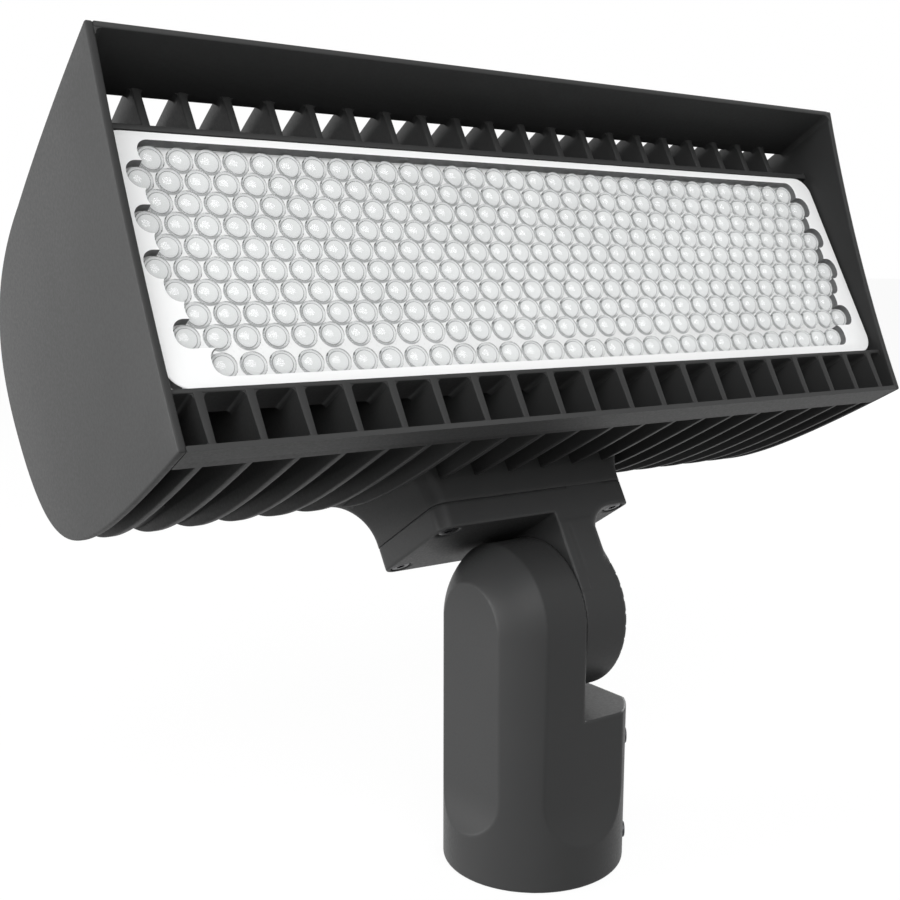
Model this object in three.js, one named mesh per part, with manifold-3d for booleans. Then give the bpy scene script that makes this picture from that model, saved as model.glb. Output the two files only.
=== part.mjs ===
// Outdoor LED floodlight on a slip fitter: finned head with visor, adjustable knuckle, tenon socket.
// Millimetres and degrees. +Z is up, the light leaves toward -Y, and X runs along the width of the head.
// The origin is the centre of the slip fitter's bottom mouth.
import * as THREE from 'three';
import { mergeVertices } from 'three/addons/utils/BufferGeometryUtils.js';
import Module from 'manifold-3d';

const wasm = await Module();
wasm.setup();

// Joint between head and post
const headLean = 31; // the head leans back from upright by this angle
const pivotHeight = 109.8;
const tenonDiameter = 60.3;
const tenonClearance = 0.7; // on the radius
const socketWall = 9.15; // at the bottom mouth
const knuckleInset = 6.6; // from the bottom rim to the round ends and the front and back flats
const lapGap = 0.3; // between the two knuckle halves
const seatGap = 0.3; // between assembled pieces that rest on each other
const holeClearance = 0.4; // round a screw, on the radius
const overrun = 2; // how far a cutting shape runs past the face it opens

// Head, side outline: distances from the pivot axis, forward or backward, and heights above it
const headWidth = 340;
const headOffset = -6.4; // centre of the head from the centre of the post
const headHeight = 128.9; // from the bottom front edge to the front edge of the visor
const tipReach = 113.4; // front edge of the visor
const crownReach = 60; // where the top bulges
const crownRise = 2.8; // above the visor's front edge
const shoulderReach = 17.6; // where the top turns down to the back
const shoulderRise = 0.8;
const backReach = 51.2;
const backHeightShare = 0.5912; // rearmost point, of the height from lip to visor
const bellyReach = 7.1; // where the back has come round to the underside
const bellyRise = 8.1; // above the bottom front edge
const keelReach = 35; // where the underside sags
const keelRise = 2.5;
const lipSetback = 19.5; // bottom front edge behind the visor's front edge
const lipClearance = 4.5; // height of the bottom front edge over the pedestal's bottom
const frontHollow = 5.7; // pull of the hollow front edge of the side panels
const shoulderHandleShare = 0.58;
const upperBackHandleShare = 0.75;
const lowerBackHandleShare = 0.73;
const bellyHandleShare = 0.58;
const bellyClimb = 6.8; // how much the underside climbs over the belly handle

// Side panels and visor
const panelThickness = 2.4;
const visorThickness = 2;
const visorDepth = 29.9;

// Lamp tray in the front of the casting
const windowDrop = 19.7; // lens window's top edge below the front edge of the visor
const windowRise = 20.3; // its bottom edge above the bottom front edge
const trayTopBar = 2.2;
const trayBottomBar = 1.7;
const traySetback = 22.4; // behind the visor's front edge
const trayFloor = 3;
const lipThickness = 1.8;
const lipDepth = 14.7;
const barSetback = 0.9; // the ribs stand this far behind the front edge of the lip

// Lower fins
const lowerFinCount = 20;
const lowerFinMargin = 8.65; // from the middle of the outer fins to the ends of the casting
const lowerFinThickness = 3.3;
const lowerFinEdge = 2.3; // thickness at the bottom edge
const finParting = 5.9; // between the lower and upper fins, at half the window's height

// Upper fins
const upperFinCount = 20;
const upperFinMargin = 19.48;
const upperFinThickness = 2.9;
const finUnderVisor = 4.5; // how far the upper fins run forward under the visor

// Driver bay behind the fins
const bayFrontReach = 9.1;
const lowerFinDepth = 6.9; // fins below the bay, at its front wall
const upperFinDepth = 7.7; // fins above the bay, at its front wall
const bayRearHalfShare = 0.291; // of the head's height
const bayWall = 3;
const bayTurnShare = 0.72; // how far back the bay's floor and roof stay level

// Rear cover
const coverEndMargin = 40; // from the ends of the head
const coverDropShare = 0.2692; // below the rearmost point of the back, of the head's height
const coverRiseShare = 0.173; // above it
const coverDepth = 9.5; // from the rearmost point of the back to the cover's seat
const coverLedge = 8.5; // width of the seat round the window
const coverLedgeThickness = 3;
const coverGasketThickness = 1;
const coverHollow = 2.6; // depth of the hollow in the cover's inner face
const coverScrewInset = 4.2;
const coverScrewRadius = 1.9;
const coverScrewHeadRadius = 3.4;
const coverScrewHeadHeight = 2;
const coverScrewSeat = 1.5; // cover thickness under a screw head

// Pedestal under the bay, with the flange of the knuckle arm
const flangeLeft = 55.3; // from the centre of the post
const flangeRight = 43.4;
const flangeBack = 20.2;
const flangeCorner = 6.5;
const archClearance = 1.2; // from the round top of the slip fitter to the flange
const flangeThickness = 8.8;
const flangeGasketThickness = 1;
const flangeScrewInset = 6.5;
const flangeScrewRadius = 2.1;
const flangeScrewHeadRadius = 4;
const flangeScrewHeadHeight = 3.2;
const flangeScrewRecess = 4;
const flangeScrewEngagement = 11;
const pedestalWall = 10.5;
const pedestalOverlap = 10.5; // how far the pedestal runs up into the fins
const flareRadius = 20; // sweep from the pedestal's sides into the underside of the bay
const flareStart = 1; // straight height of the pedestal before the sweep

// Knuckle arm
const neckSetback = 1.2; // from the disc's outer face
const neckInset = 2.2; // from the back of the flange
const neckFillet = 9;
const neckEdgeRadius = 4;
const discThickness = 23.2;
const discBevel = 2.4;
const tickCount = 9;
const tickSpacing = 10; // degrees
const tickWidth = 1.1;
const tickDepth = 1.4;

// Wiring path through the knuckle
const wireRecessRadius = 22;
const wireRecessDepth = 8;
const pivotBossRadius = 10;
const wireBoreRadius = 6;

// Pivot bolt
const boltRadius = 5;
const boltFlatsShare = 3.4; // width of the hexagon head across flats, of the shank's radius
const boltHeadHeight = 6;
const boltReach = 24; // into the slip fitter past the lap face
const boltTipRoom = 2;
const boltHeadRoom = 1.7; // from the corners of the head to the wall of its pocket
const boltHeadSink = 0.8; // below the disc's outer face
const washerRoom = 1.2;
const washerThickness = 1.5;
const lockWasherInset = 1.7; // from the edge of the plain washer
const lockWasherThickness = 1.8;

// Slip fitter
const bodyDraftShare = 0.0145; // how much the radius shrinks for each unit of height
const ledgeClearance = 5; // step of the slip fitter under the disc of the knuckle arm
const socketRoof = 11.4; // metal between the socket and that step
const sideFlatDepth = 5.6; // from the bottom rim
const flatRunoutHeight = 40; // where the flats start to run out to the round rim
const flatRunoutRadius = 38;

// Set screws that grip the tenon
const setScrewRadius = 3.65;
const setScrewAngle = 35; // from the X axis to each side
const setScrewLowHeight = 10;
const setScrewHighInset = 5; // from the top of the socket
const setScrewProud = 1;
const setScrewKeyFlats = 4;
const setScrewKeyDepth = 2.5;

// Lens plate, boards and reflector frame
const frameCorner = 8;
const frameEdgeGap = 1.3; // reflector frame to the side panels
const frameThickness = 4.5;
const opticThickness = 2.5;
const domeWidthShare = 0.4503; // dome radius, of the distance between domes
const domeRiseShare = 0.5584; // its limit, of the distance between rows
const domeHeight = 3.6;
const domeSides = 5;
const domeCounts = [32, 33, 32, 33, 32, 33, 32, 31, 32, 30];
const domeEndMargin = 11.74; // from the middle of the last dome of a full first row to the frame's end
const domeSpreadShare = 0.00435; // each row is spread a little wider than the one above
const domeTopMargin = 8; // window edge to the first row
const domeBottomMargin = 8.98;
const domeLastRowGap = 9.6;
const domeRim = 0.9; // frame opening round a dome
const slotRoundShare = 0.994; // round part of a slot's end
const boardThickness = 1.6;
const boardToGasket = 1;
const boardSplit = 1; // gap between the two boards
const lensGasketWidth = 2.6;

// Driver and terminal block
const driverWidth = 180;
const driverDepth = 34;
const driverHeight = 34;
const driverCorner = 3;
const bracketThickness = 1.5;
const bracketMargin = 12;
const bracketRise = 2; // above and below the driver
const driverScrewRadius = 1.9;
const driverScrewHeadRadius = 3.5;
const driverScrewHeadHeight = 2.2;
const terminalWidth = 14;
const terminalDepth = 16;
const terminalHeight = 32;
const terminalGap = 9; // from the bracket to the terminal block
const terminalPoles = 3;
const terminalPoleRadius = 2.2;

const deg = Math.PI / 180;
const roundSteps = 40;
const smallSteps = 12;
const curveSteps = 6;
const ringSteps = 24;

// Heights and reaches that follow from the sizes above
const socketRadius = tenonDiameter / 2 + tenonClearance;
const socketRimRadius = socketRadius + socketWall;
const knuckleRadius = socketRimRadius - knuckleInset;
const sideFlatReach = socketRimRadius - sideFlatDepth;
const flangeUnderside = knuckleRadius + archClearance;
const flangeTop = flangeUnderside + flangeThickness;
const pedestalBottom = flangeTop + flangeGasketThickness + 2 * seatGap;
const lipHeight = pedestalBottom + lipClearance;
const tipHeight = lipHeight + headHeight;
const crownHeight = tipHeight + crownRise;
const shoulderHeight = tipHeight + shoulderRise;
const backHeight = lipHeight + headHeight * backHeightShare;
const bellyHeight = lipHeight + bellyRise;
const keelHeight = lipHeight + keelRise;
const lipReach = tipReach - lipSetback;
const visorRearReach = tipReach - visorDepth;
const upperFinReach = visorRearReach + finUnderVisor;
const windowTop = tipHeight - windowDrop;
const windowBottom = lipHeight + windowRise;
const lowerFinTop = (windowTop + windowBottom - finParting) / 2;
const upperFinBottom = lowerFinTop + finParting;
const halfWidth = headWidth / 2;
const panelInner = halfWidth - panelThickness;
const castHalf = panelInner - seatGap;
const coverHalfWidth = halfWidth - coverEndMargin;
const trayFrontReach = tipReach - traySetback;
const trayDepth = frameThickness + opticThickness + boardThickness + 3 * seatGap;

const X = new THREE.Vector3(1, 0, 0);
const Y = new THREE.Vector3(0, 1, 0);
const Z = new THREE.Vector3(0, 0, 1);

// A closed geometry as a solid, turned to face outward
function solid(geometry) {
  const bare = geometry.clone();
  bare.deleteAttribute('normal');
  bare.deleteAttribute('uv');
  const merged = mergeVertices(bare, 1e-4);
  const source = merged.index.array;
  const kept = [];
  for (let i = 0; i < source.length; i += 3) {
    const [a, b, c] = [source[i], source[i + 1], source[i + 2]];
    if (a !== b && b !== c && c !== a) kept.push(a, b, c);
  }
  const make = (triVerts) => new wasm.Manifold(new wasm.Mesh({
    numProp: 3,
    vertProperties: merged.attributes.position.array,
    triVerts: new Uint32Array(triVerts),
  }));
  const made = make(kept);
  if (made.volume() > 0) return made;
  const flipped = [];
  for (let i = 0; i < kept.length; i += 3) flipped.push(kept[i], kept[i + 2], kept[i + 1]);
  return make(flipped);
}

function union(list) {
  return list.reduce((all, next) => all.add(next));
}

function box(x0, x1, y0, y1, z0, z1) {
  const g = new THREE.BoxGeometry(x1 - x0, y1 - y0, z1 - z0);
  g.translate((x0 + x1) / 2, (y0 + y1) / 2, (z0 + z1) / 2);
  return solid(g);
}

function extruded(shape, depth, steps) {
  return new THREE.ExtrudeGeometry(shape, { depth, bevelEnabled: false, curveSegments: steps });
}

// Extrusions of a flat shape along each axis
function extrudeX(shape, x0, x1, steps = smallSteps) {
  const g = extruded(shape, x1 - x0, steps);
  return g.applyMatrix4(new THREE.Matrix4().makeBasis(Y, Z, X).setPosition(x0, 0, 0));
}

function alongX(shape, x0, x1, steps) {
  return solid(extrudeX(shape, x0, x1, steps));
}

function alongY(shape, y0, y1, steps = smallSteps) {
  const g = extruded(shape, y1 - y0, steps);
  g.applyMatrix4(new THREE.Matrix4().makeBasis(X, Z, Y.clone().negate()).setPosition(0, y1, 0));
  return solid(g);
}

function alongZ(shape, z0, z1, steps = smallSteps) {
  const g = extruded(shape, z1 - z0, steps);
  g.translate(0, 0, z0);
  return solid(g);
}

// Rods along each axis, centred on the two other coordinates
function rodX(radius, x0, x1, y, z, steps = smallSteps) {
  const g = new THREE.CylinderGeometry(radius, radius, x1 - x0, steps);
  g.rotateZ(-Math.PI / 2);
  g.translate((x0 + x1) / 2, y, z);
  return solid(g);
}

function rodY(radius, y0, y1, x, z, steps = smallSteps) {
  const g = new THREE.CylinderGeometry(radius, radius, y1 - y0, steps);
  g.translate(x, (y0 + y1) / 2, z);
  return solid(g);
}

function rodZ(radius, z0, z1, x, y, steps = smallSteps) {
  const g = new THREE.CylinderGeometry(radius, radius, z1 - z0, steps);
  g.rotateX(Math.PI / 2);
  g.translate(x, y, (z0 + z1) / 2);
  return solid(g);
}

function roundedRect(u0, u1, v0, v1, r) {
  const s = new THREE.Shape();
  s.moveTo(u0 + r, v0);
  s.lineTo(u1 - r, v0);
  s.absarc(u1 - r, v0 + r, r, -Math.PI / 2, 0, false);
  s.lineTo(u1, v1 - r);
  s.absarc(u1 - r, v1 - r, r, 0, Math.PI / 2, false);
  s.lineTo(u0 + r, v1);
  s.absarc(u0 + r, v1 - r, r, Math.PI / 2, Math.PI, false);
  s.lineTo(u0, v0 + r);
  s.absarc(u0 + r, v0 + r, r, Math.PI, 1.5 * Math.PI, false);
  return s;
}

function polygon(points) {
  return new THREE.Shape(points.map(([u, v]) => new THREE.Vector2(u, v)));
}

function mesh(name, made, material) {
  const out = made.getMesh();
  const g = new THREE.BufferGeometry();
  const n = out.numProp;
  const position = new Float32Array(out.numVert * 3);
  for (let i = 0; i < out.numVert; i += 1) {
    position.set(out.vertProperties.subarray(i * n, i * n + 3), i * 3);
  }
  g.setAttribute('position', new THREE.BufferAttribute(position, 3));
  g.setIndex(new THREE.BufferAttribute(new Uint32Array(out.triVerts), 1));
  g.computeVertexNormals();
  const m = new THREE.Mesh(g, material);
  m.name = name;
  return m;
}

const castPaint = () => new THREE.MeshStandardMaterial({ color: 0x2e3031, roughness: 0.55, metalness: 0.25 });
const postPaint = () => new THREE.MeshStandardMaterial({ color: 0x2a2c2d, roughness: 0.5, metalness: 0.25 });
const blackSteel = () => new THREE.MeshStandardMaterial({ color: 0x1d1e1f, roughness: 0.4, metalness: 0.7 });
const brightSteel = () => new THREE.MeshStandardMaterial({ color: 0xa8abad, roughness: 0.35, metalness: 0.9 });
const sealRubber = () => new THREE.MeshStandardMaterial({ color: 0x151515, roughness: 0.85, metalness: 0 });
const whitePlate = () => new THREE.MeshStandardMaterial({ color: 0xf4f4f2, roughness: 0.5, metalness: 0 });
const clearOptic = () => new THREE.MeshStandardMaterial({
  color: 0xe8edee,
  roughness: 0.08,
  metalness: 0,
  transparent: true,
  opacity: 0.55,
});
const boardWhite = () => new THREE.MeshStandardMaterial({ color: 0xe9e9e4, roughness: 0.6, metalness: 0.1 });
const driverCase = () => new THREE.MeshStandardMaterial({ color: 0xc9ccce, roughness: 0.45, metalness: 0.6 });
const terminalPlastic = () => new THREE.MeshStandardMaterial({ color: 0xd8d5c8, roughness: 0.6, metalness: 0 });

// Side outline of the head, in Y and Z from the pivot axis
function outlineCurves() {
  const shoulderToBack = backReach + shoulderReach;
  const backToBelly = backReach + bellyReach;
  const tip = new THREE.Vector2(-tipReach, tipHeight);
  const shoulder = new THREE.Vector2(-shoulderReach, shoulderHeight);
  const back = new THREE.Vector2(backReach, backHeight);
  const belly = new THREE.Vector2(-bellyReach, bellyHeight);
  const lip = new THREE.Vector2(-lipReach, lipHeight);
  return [
    new THREE.QuadraticBezierCurve(tip, new THREE.Vector2(-crownReach, crownHeight), shoulder),
    new THREE.CubicBezierCurve(
      shoulder,
      new THREE.Vector2(-shoulderReach + shoulderToBack * shoulderHandleShare, shoulderHeight),
      new THREE.Vector2(backReach, backHeight + (shoulderHeight - backHeight) * upperBackHandleShare),
      back,
    ),
    new THREE.CubicBezierCurve(
      back,
      new THREE.Vector2(backReach, backHeight - (backHeight - bellyHeight) * lowerBackHandleShare),
      new THREE.Vector2(-bellyReach + backToBelly * bellyHandleShare, bellyHeight + bellyClimb),
      belly,
    ),
    new THREE.QuadraticBezierCurve(belly, new THREE.Vector2(-keelReach, keelHeight), lip),
    new THREE.QuadraticBezierCurve(
      lip,
      new THREE.Vector2(-(lipReach + tipReach) / 2 + frontHollow, (lipHeight + tipHeight) / 2),
      tip,
    ),
  ];
}

const outlineSteps = [4, 8, 8, 4, 4];
const outlinePoints = outlineCurves().flatMap((c, i) => c.getPoints(outlineSteps[i]).slice(0, -1));
const outline = new THREE.Shape(outlinePoints);

// The outline drawn in by a wall thickness
function insetOutline(wall) {
  const n = outlinePoints.length;
  return new THREE.Shape(outlinePoints.map((p, i) => {
    const before = p.clone().sub(outlinePoints[(i + n - 1) % n]).normalize();
    const after = outlinePoints[(i + 1) % n].clone().sub(p).normalize();
    const along = before.add(after).normalize();
    return new THREE.Vector2(p.x + along.y * wall, p.y - along.x * wall);
  }));
}

const bayFloorHeight = bellyHeight + lowerFinDepth;
const bayRoofHeight = shoulderHeight - upperFinDepth;
const bayFloorRearHeight = backHeight - headHeight * bayRearHalfShare;
const bayRoofRearHeight = backHeight + headHeight * bayRearHalfShare;
const coverBottom = backHeight - headHeight * coverDropShare;
const coverTop = backHeight + headHeight * coverRiseShare;
const trayFloorY = -trayFrontReach + trayDepth;
const trayBackY = trayFloorY + trayFloor;
const bayFrontY = -bayFrontReach;
const ribFrontY = -lipReach + barSetback;
const coverSeatY = backReach - coverDepth;

// Where repeated pieces stand, evenly spaced about the middle
function spread(count, pitch) {
  return Array.from({ length: count }, (_, i) => (i - (count - 1) / 2) * pitch);
}

const lowerFinPitch = (2 * (castHalf - lowerFinMargin)) / (lowerFinCount - 1);
const upperFinPitch = (2 * (castHalf - upperFinMargin)) / (upperFinCount - 1);

// Outer shape of the driver bay, before it is limited by the head's outline
function bayShape(wall) {
  const front = bayFrontY + wall;
  const rear = backReach + overrun - wall;
  const floor = bayFloorHeight + wall;
  const roof = bayRoofHeight - wall;
  const floorRear = bayFloorRearHeight + wall;
  const roofRear = bayRoofRearHeight - wall;
  const turn = front + (rear - front) * bayTurnShare;
  const s = new THREE.Shape();
  s.moveTo(front, floor);
  s.quadraticCurveTo(turn, floor, rear, floorRear);
  s.lineTo(rear, roofRear);
  s.quadraticCurveTo(turn, roof, front, roof);
  return s;
}

// Pedestal outline in X and Y from the head's centre, and the sweeps on its two sides
const pedestalLeft = -flangeLeft - headOffset;
const pedestalRight = flangeRight - headOffset;
const pedestalTop = bayFloorHeight + pedestalOverlap;

function flareShape(x, way) {
  const s = new THREE.Shape();
  const start = pedestalBottom + flareStart;
  s.moveTo(x - way * flareRadius, start);
  s.lineTo(x, start);
  s.absarc(
    x + way * flareRadius,
    start,
    flareRadius,
    way > 0 ? Math.PI : 0,
    Math.PI / 2,
    way > 0,
  );
  s.lineTo(x - way * flareRadius, start + flareRadius);
  return s;
}

function flangeScrewPlaces(left, right) {
  return [
    [left + flangeScrewInset, -knuckleRadius + flangeScrewInset],
    [right - flangeScrewInset, -knuckleRadius + flangeScrewInset],
    [left + flangeScrewInset, flangeBack - flangeScrewInset],
    [right - flangeScrewInset, flangeBack - flangeScrewInset],
  ];
}

const coverScrewPlaces = [-1, 0, 1].flatMap((way) => [
  [way * (coverHalfWidth - coverScrewInset), coverBottom + coverScrewInset],
  [way * (coverHalfWidth - coverScrewInset), coverTop - coverScrewInset],
]);

// Driver position in the bay
const driverMiddle = (coverBottom + coverTop) / 2;
const bayInnerY = bayFrontY + bayWall;
const bracketY = bayInnerY + seatGap;
const bracketHalf = driverWidth / 2 + bracketMargin;
const driverScrewPlaces = [-bracketHalf + bracketMargin / 2, bracketHalf - bracketMargin / 2];

// Main casting: lamp tray, fins, driver bay and pedestal, about the head's own centre
function heatsinkHousing() {
  const side = (x0, x1) => alongX(outline, x0, x1);
  const core = side(-castHalf, castHalf);
  const trayUpper = windowTop + trayTopBar;
  const trayLower = windowBottom - trayBottomBar;
  const floor = box(-castHalf, castHalf, trayFloorY, trayBackY, trayLower, trayUpper);
  const topBar = box(-castHalf, castHalf, -trayFrontReach, trayBackY, windowTop, trayUpper);
  const bottomBar = box(-castHalf, castHalf, ribFrontY, trayBackY, trayLower, windowBottom);
  const lip = box(
    -castHalf, castHalf, -lipReach - overrun, -lipReach + lipDepth,
    lipHeight - overrun, lipHeight + lipThickness,
  );

  const half = lowerFinThickness / 2;
  const edge = lowerFinEdge / 2;
  const lowerFins = union(spread(lowerFinCount, lowerFinPitch).map((x) => alongY(polygon([
    [x - edge, lipHeight - overrun],
    [x + edge, lipHeight - overrun],
    [x + half, windowBottom],
    [x + half, lowerFinTop],
    [x - half, lowerFinTop],
    [x - half, windowBottom],
  ]), ribFrontY, backReach)));
  const trayMouth = box(
    -halfWidth, halfWidth, -tipReach, trayFloorY + trayFloor / 2, windowBottom - trayBottomBar / 2, tipHeight,
  );
  const lower = lowerFins.subtract(trayMouth);

  const fin = upperFinThickness / 2;
  const upperFins = union(spread(upperFinCount, upperFinPitch).map((x) => box(
    x - fin, x + fin, -upperFinReach, backReach, upperFinBottom, crownHeight + overrun,
  )));
  const aboveTray = box(-halfWidth, halfWidth, -upperFinReach, trayBackY, windowTop, crownHeight + overrun);
  const behindTray = box(
    -halfWidth, halfWidth, trayBackY - trayFloor / 2, backReach, upperFinBottom, crownHeight + overrun,
  );
  const underVisor = box(
    -halfWidth, halfWidth, -tipReach, -visorRearReach + seatGap,
    tipHeight - visorThickness - seatGap, crownHeight + overrun,
  );
  const upper = upperFins.intersect(aboveTray.add(behindTray)).subtract(underVisor);

  const bay = alongX(bayShape(0), -castHalf, castHalf, curveSteps);
  const finned = union([lip, lower, upper, bay]).intersect(core);

  const stem = alongZ(
    roundedRect(pedestalLeft, pedestalRight, -knuckleRadius, flangeBack, flangeCorner),
    pedestalBottom,
    pedestalTop,
    curveSteps / 2,
  );
  const sweeps = alongY(flareShape(pedestalLeft, -1), -knuckleRadius, flangeBack)
    .add(alongY(flareShape(pedestalRight, 1), -knuckleRadius, flangeBack));

  const inside = alongX(bayShape(bayWall), -castHalf + bayWall, castHalf - bayWall, curveSteps)
    .intersect(alongX(insetOutline(bayWall), -castHalf, castHalf))
    .intersect(box(-castHalf, castHalf, bayFrontY, coverSeatY - coverLedgeThickness, 0, crownHeight));
  const wiring = box(
    pedestalLeft + pedestalWall, pedestalRight - pedestalWall,
    -knuckleRadius + pedestalWall, flangeBack - pedestalWall,
    pedestalBottom - overrun, pedestalTop - bayWall,
  );
  const coverSeat = box(
    -coverHalfWidth - seatGap, coverHalfWidth + seatGap, coverSeatY, backReach + overrun,
    coverBottom - seatGap, coverTop + seatGap,
  );
  const window = box(
    -coverHalfWidth + coverLedge, coverHalfWidth - coverLedge,
    coverSeatY - coverLedgeThickness - overrun, backReach,
    coverBottom + coverLedge, coverTop - coverLedge,
  );
  const coverHoles = union(coverScrewPlaces.map(([x, z]) => rodY(
    coverScrewRadius + holeClearance, coverSeatY - coverLedgeThickness - overrun, backReach, x, z,
  )));
  const flangeHoles = union(flangeScrewPlaces(pedestalLeft, pedestalRight).map(([x, y]) => rodZ(
    flangeScrewRadius + holeClearance, pedestalBottom - overrun,
    pedestalBottom + flangeScrewEngagement + overrun, x, y,
  )));
  const driverHoles = union(driverScrewPlaces.map((x) => rodY(
    driverScrewRadius + holeClearance, bayFrontY + bayWall / 3, bayFrontY + bayWall + overrun, x, driverMiddle,
  )));
  return union([finned, floor, topBar, bottomBar, stem, sweeps])
    .subtract(union([inside, wiring, coverSeat, window, coverHoles, flangeHoles, driverHoles]));
}

function sidePanel(way) {
  const [x0, x1] = way < 0 ? [-halfWidth, -panelInner] : [panelInner, halfWidth];
  return alongX(outline, x0, x1);
}

function visor() {
  const strip = alongX(outline, -castHalf, castHalf);
  return strip.intersect(box(
    -castHalf, castHalf, -tipReach - overrun, -visorRearReach,
    tipHeight - visorThickness, crownHeight + overrun,
  ));
}

const frameHalf = panelInner - frameEdgeGap;

// Rows of lens domes: height of the row, and where each dome stands
const rowCount = domeCounts.length;
const domePitch = (2 * (frameHalf - domeEndMargin)) / (Math.max(...domeCounts) - 1);
const rowsHeight = windowTop - windowBottom - domeTopMargin - domeBottomMargin;
const domeRowPitch = (rowsHeight - domeLastRowGap) / (rowCount - 2);
const domeRadius = Math.min(domePitch * domeWidthShare, domeRowPitch * domeRiseShare);
const domeRows = domeCounts.map((count, row) => {
  const last = row === rowCount - 1;
  const drop = last ? (row - 1) * domeRowPitch + domeLastRowGap : row * domeRowPitch;
  const pitch = domePitch * (1 + row * domeSpreadShare);
  return { z: windowTop - domeTopMargin - drop, xs: spread(count, pitch) };
});
const frameTop = windowTop - seatGap;
const frameBottom = windowBottom + seatGap;
const boardFrontY = trayFloorY - seatGap - boardThickness;
const opticBackY = boardFrontY - seatGap;
const opticFrontY = opticBackY - opticThickness;
const frameFrontY = -trayFrontReach;
const frameBackY = frameFrontY + frameThickness;
const gasketHalf = frameHalf - seatGap;
const boardInset = lensGasketWidth + boardToGasket;

function opticArray() {
  const plate = box(
    -frameHalf, frameHalf, opticFrontY, opticBackY, frameBottom, frameTop,
  );
  const sink = opticThickness / 2;
  const foot = domeRadius + (domeRadius * sink) / domeHeight;
  const middle = opticFrontY + (sink - domeHeight) / 2;
  const domes = domeRows.flatMap(({ z, xs }) => xs.map((x) => {
    const g = new THREE.ConeGeometry(foot, domeHeight + sink, domeSides).rotateX(Math.PI);
    return solid(g.translate(x, middle, z));
  }));
  return plate.add(union(domes));
}

// White frame with an opening that follows the rows of domes
function reflectorFrame() {
  const outer = alongY(
    roundedRect(-frameHalf, frameHalf, frameBottom, frameTop, frameCorner), frameFrontY, frameBackY, curveSteps,
  );
  const reach = domeRadius + domeRim;
  const cuts = domeRows.flatMap(({ z, xs }, row) => {
    const end = xs[xs.length - 1];
    const below = domeRows[row + 1];
    const slot = alongY(
      roundedRect(-end - reach, end + reach, z - reach, z + reach, reach * slotRoundShare),
      frameFrontY - overrun,
      frameBackY + overrun,
      3,
    );
    if (!below) return [slot];
    const shared = Math.min(end, below.xs[below.xs.length - 1]);
    return [slot, box(-shared, shared, frameFrontY - overrun, frameBackY + overrun, below.z, z)];
  });
  return outer.subtract(union(cuts));
}

function ledBoard(way) {
  const inner = boardSplit / 2;
  const outer = gasketHalf - boardInset;
  const [x0, x1] = way < 0 ? [-outer, -inner] : [inner, outer];
  return box(x0, x1, boardFrontY, trayFloorY - seatGap, frameBottom + boardInset, frameTop - boardInset);
}

function lensGasket() {
  const x = gasketHalf;
  const ring = box(-x, x, boardFrontY, trayFloorY - seatGap, frameBottom, frameTop);
  const w = lensGasketWidth;
  return ring.subtract(box(
    -x + w, x - w, boardFrontY - overrun, trayFloorY + overrun, frameBottom + w, frameTop - w,
  ));
}

function rearCover() {
  const seat = coverSeatY + coverGasketThickness + 2 * seatGap;
  const plate = alongX(outline, -coverHalfWidth, coverHalfWidth)
    .intersect(box(-coverHalfWidth, coverHalfWidth, seat, backReach + overrun, coverBottom, coverTop));
  const hollow = box(
    -coverHalfWidth + coverLedge, coverHalfWidth - coverLedge, seat - overrun, seat + coverHollow,
    coverBottom + coverLedge, coverTop - coverLedge,
  );
  const holes = union(coverScrewPlaces.map(([x, z]) => rodY(
    coverScrewRadius + holeClearance, seat - overrun, backReach + overrun, x, z,
  )));
  const seats = union(coverScrewPlaces.map(([x, z]) => rodY(
    coverScrewHeadRadius + holeClearance, seat + coverScrewSeat, backReach + overrun, x, z,
  )));
  return plate.subtract(union([hollow, holes, seats]));
}

function rearCoverGasket() {
  const y0 = coverSeatY + seatGap;
  const y1 = y0 + coverGasketThickness;
  const sheet = box(-coverHalfWidth, coverHalfWidth, y0, y1, coverBottom, coverTop);
  const window = box(
    -coverHalfWidth + coverLedge, coverHalfWidth - coverLedge, y0 - overrun, y1 + overrun,
    coverBottom + coverLedge, coverTop - coverLedge,
  );
  const holes = union(coverScrewPlaces.map(([x, z]) => rodY(
    coverScrewRadius + holeClearance, y0 - overrun, y1 + overrun, x, z,
  )));
  return sheet.subtract(window).subtract(holes);
}

// Screws: head and shank in one piece
function coverScrew([x, z]) {
  const seat = coverSeatY + coverGasketThickness + 2 * seatGap + coverScrewSeat + seatGap;
  return rodY(coverScrewHeadRadius, seat, seat + coverScrewHeadHeight, x, z)
    .add(rodY(coverScrewRadius, coverSeatY - coverLedgeThickness, seat + coverScrewHeadHeight / 2, x, z));
}

function flangeScrew([x, y]) {
  const under = flangeUnderside + flangeScrewRecess - seatGap;
  const head = rodZ(flangeScrewHeadRadius, under - flangeScrewHeadHeight, under, x, y);
  const shank = rodZ(
    flangeScrewRadius, under - flangeScrewHeadHeight / 2, pedestalBottom + flangeScrewEngagement, x, y,
  );
  const key = rodZ(
    flangeScrewRadius, under - flangeScrewHeadHeight - overrun, under - flangeScrewHeadHeight / 2, x, y, 6,
  );
  return head.add(shank).subtract(key);
}

function driverScrew(x) {
  const seat = bracketY + bracketThickness + seatGap;
  return rodY(driverScrewHeadRadius, seat, seat + driverScrewHeadHeight, x, driverMiddle)
    .add(rodY(driverScrewRadius, bayFrontY + bayWall / 2, seat + driverScrewHeadHeight / 2, x, driverMiddle));
}

function driver() {
  const y0 = bracketY + bracketThickness + seatGap;
  const z0 = driverMiddle - driverHeight / 2;
  return alongX(
    roundedRect(y0, y0 + driverDepth, z0, z0 + driverHeight, driverCorner),
    -driverWidth / 2,
    driverWidth / 2,
    4,
  );
}

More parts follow.
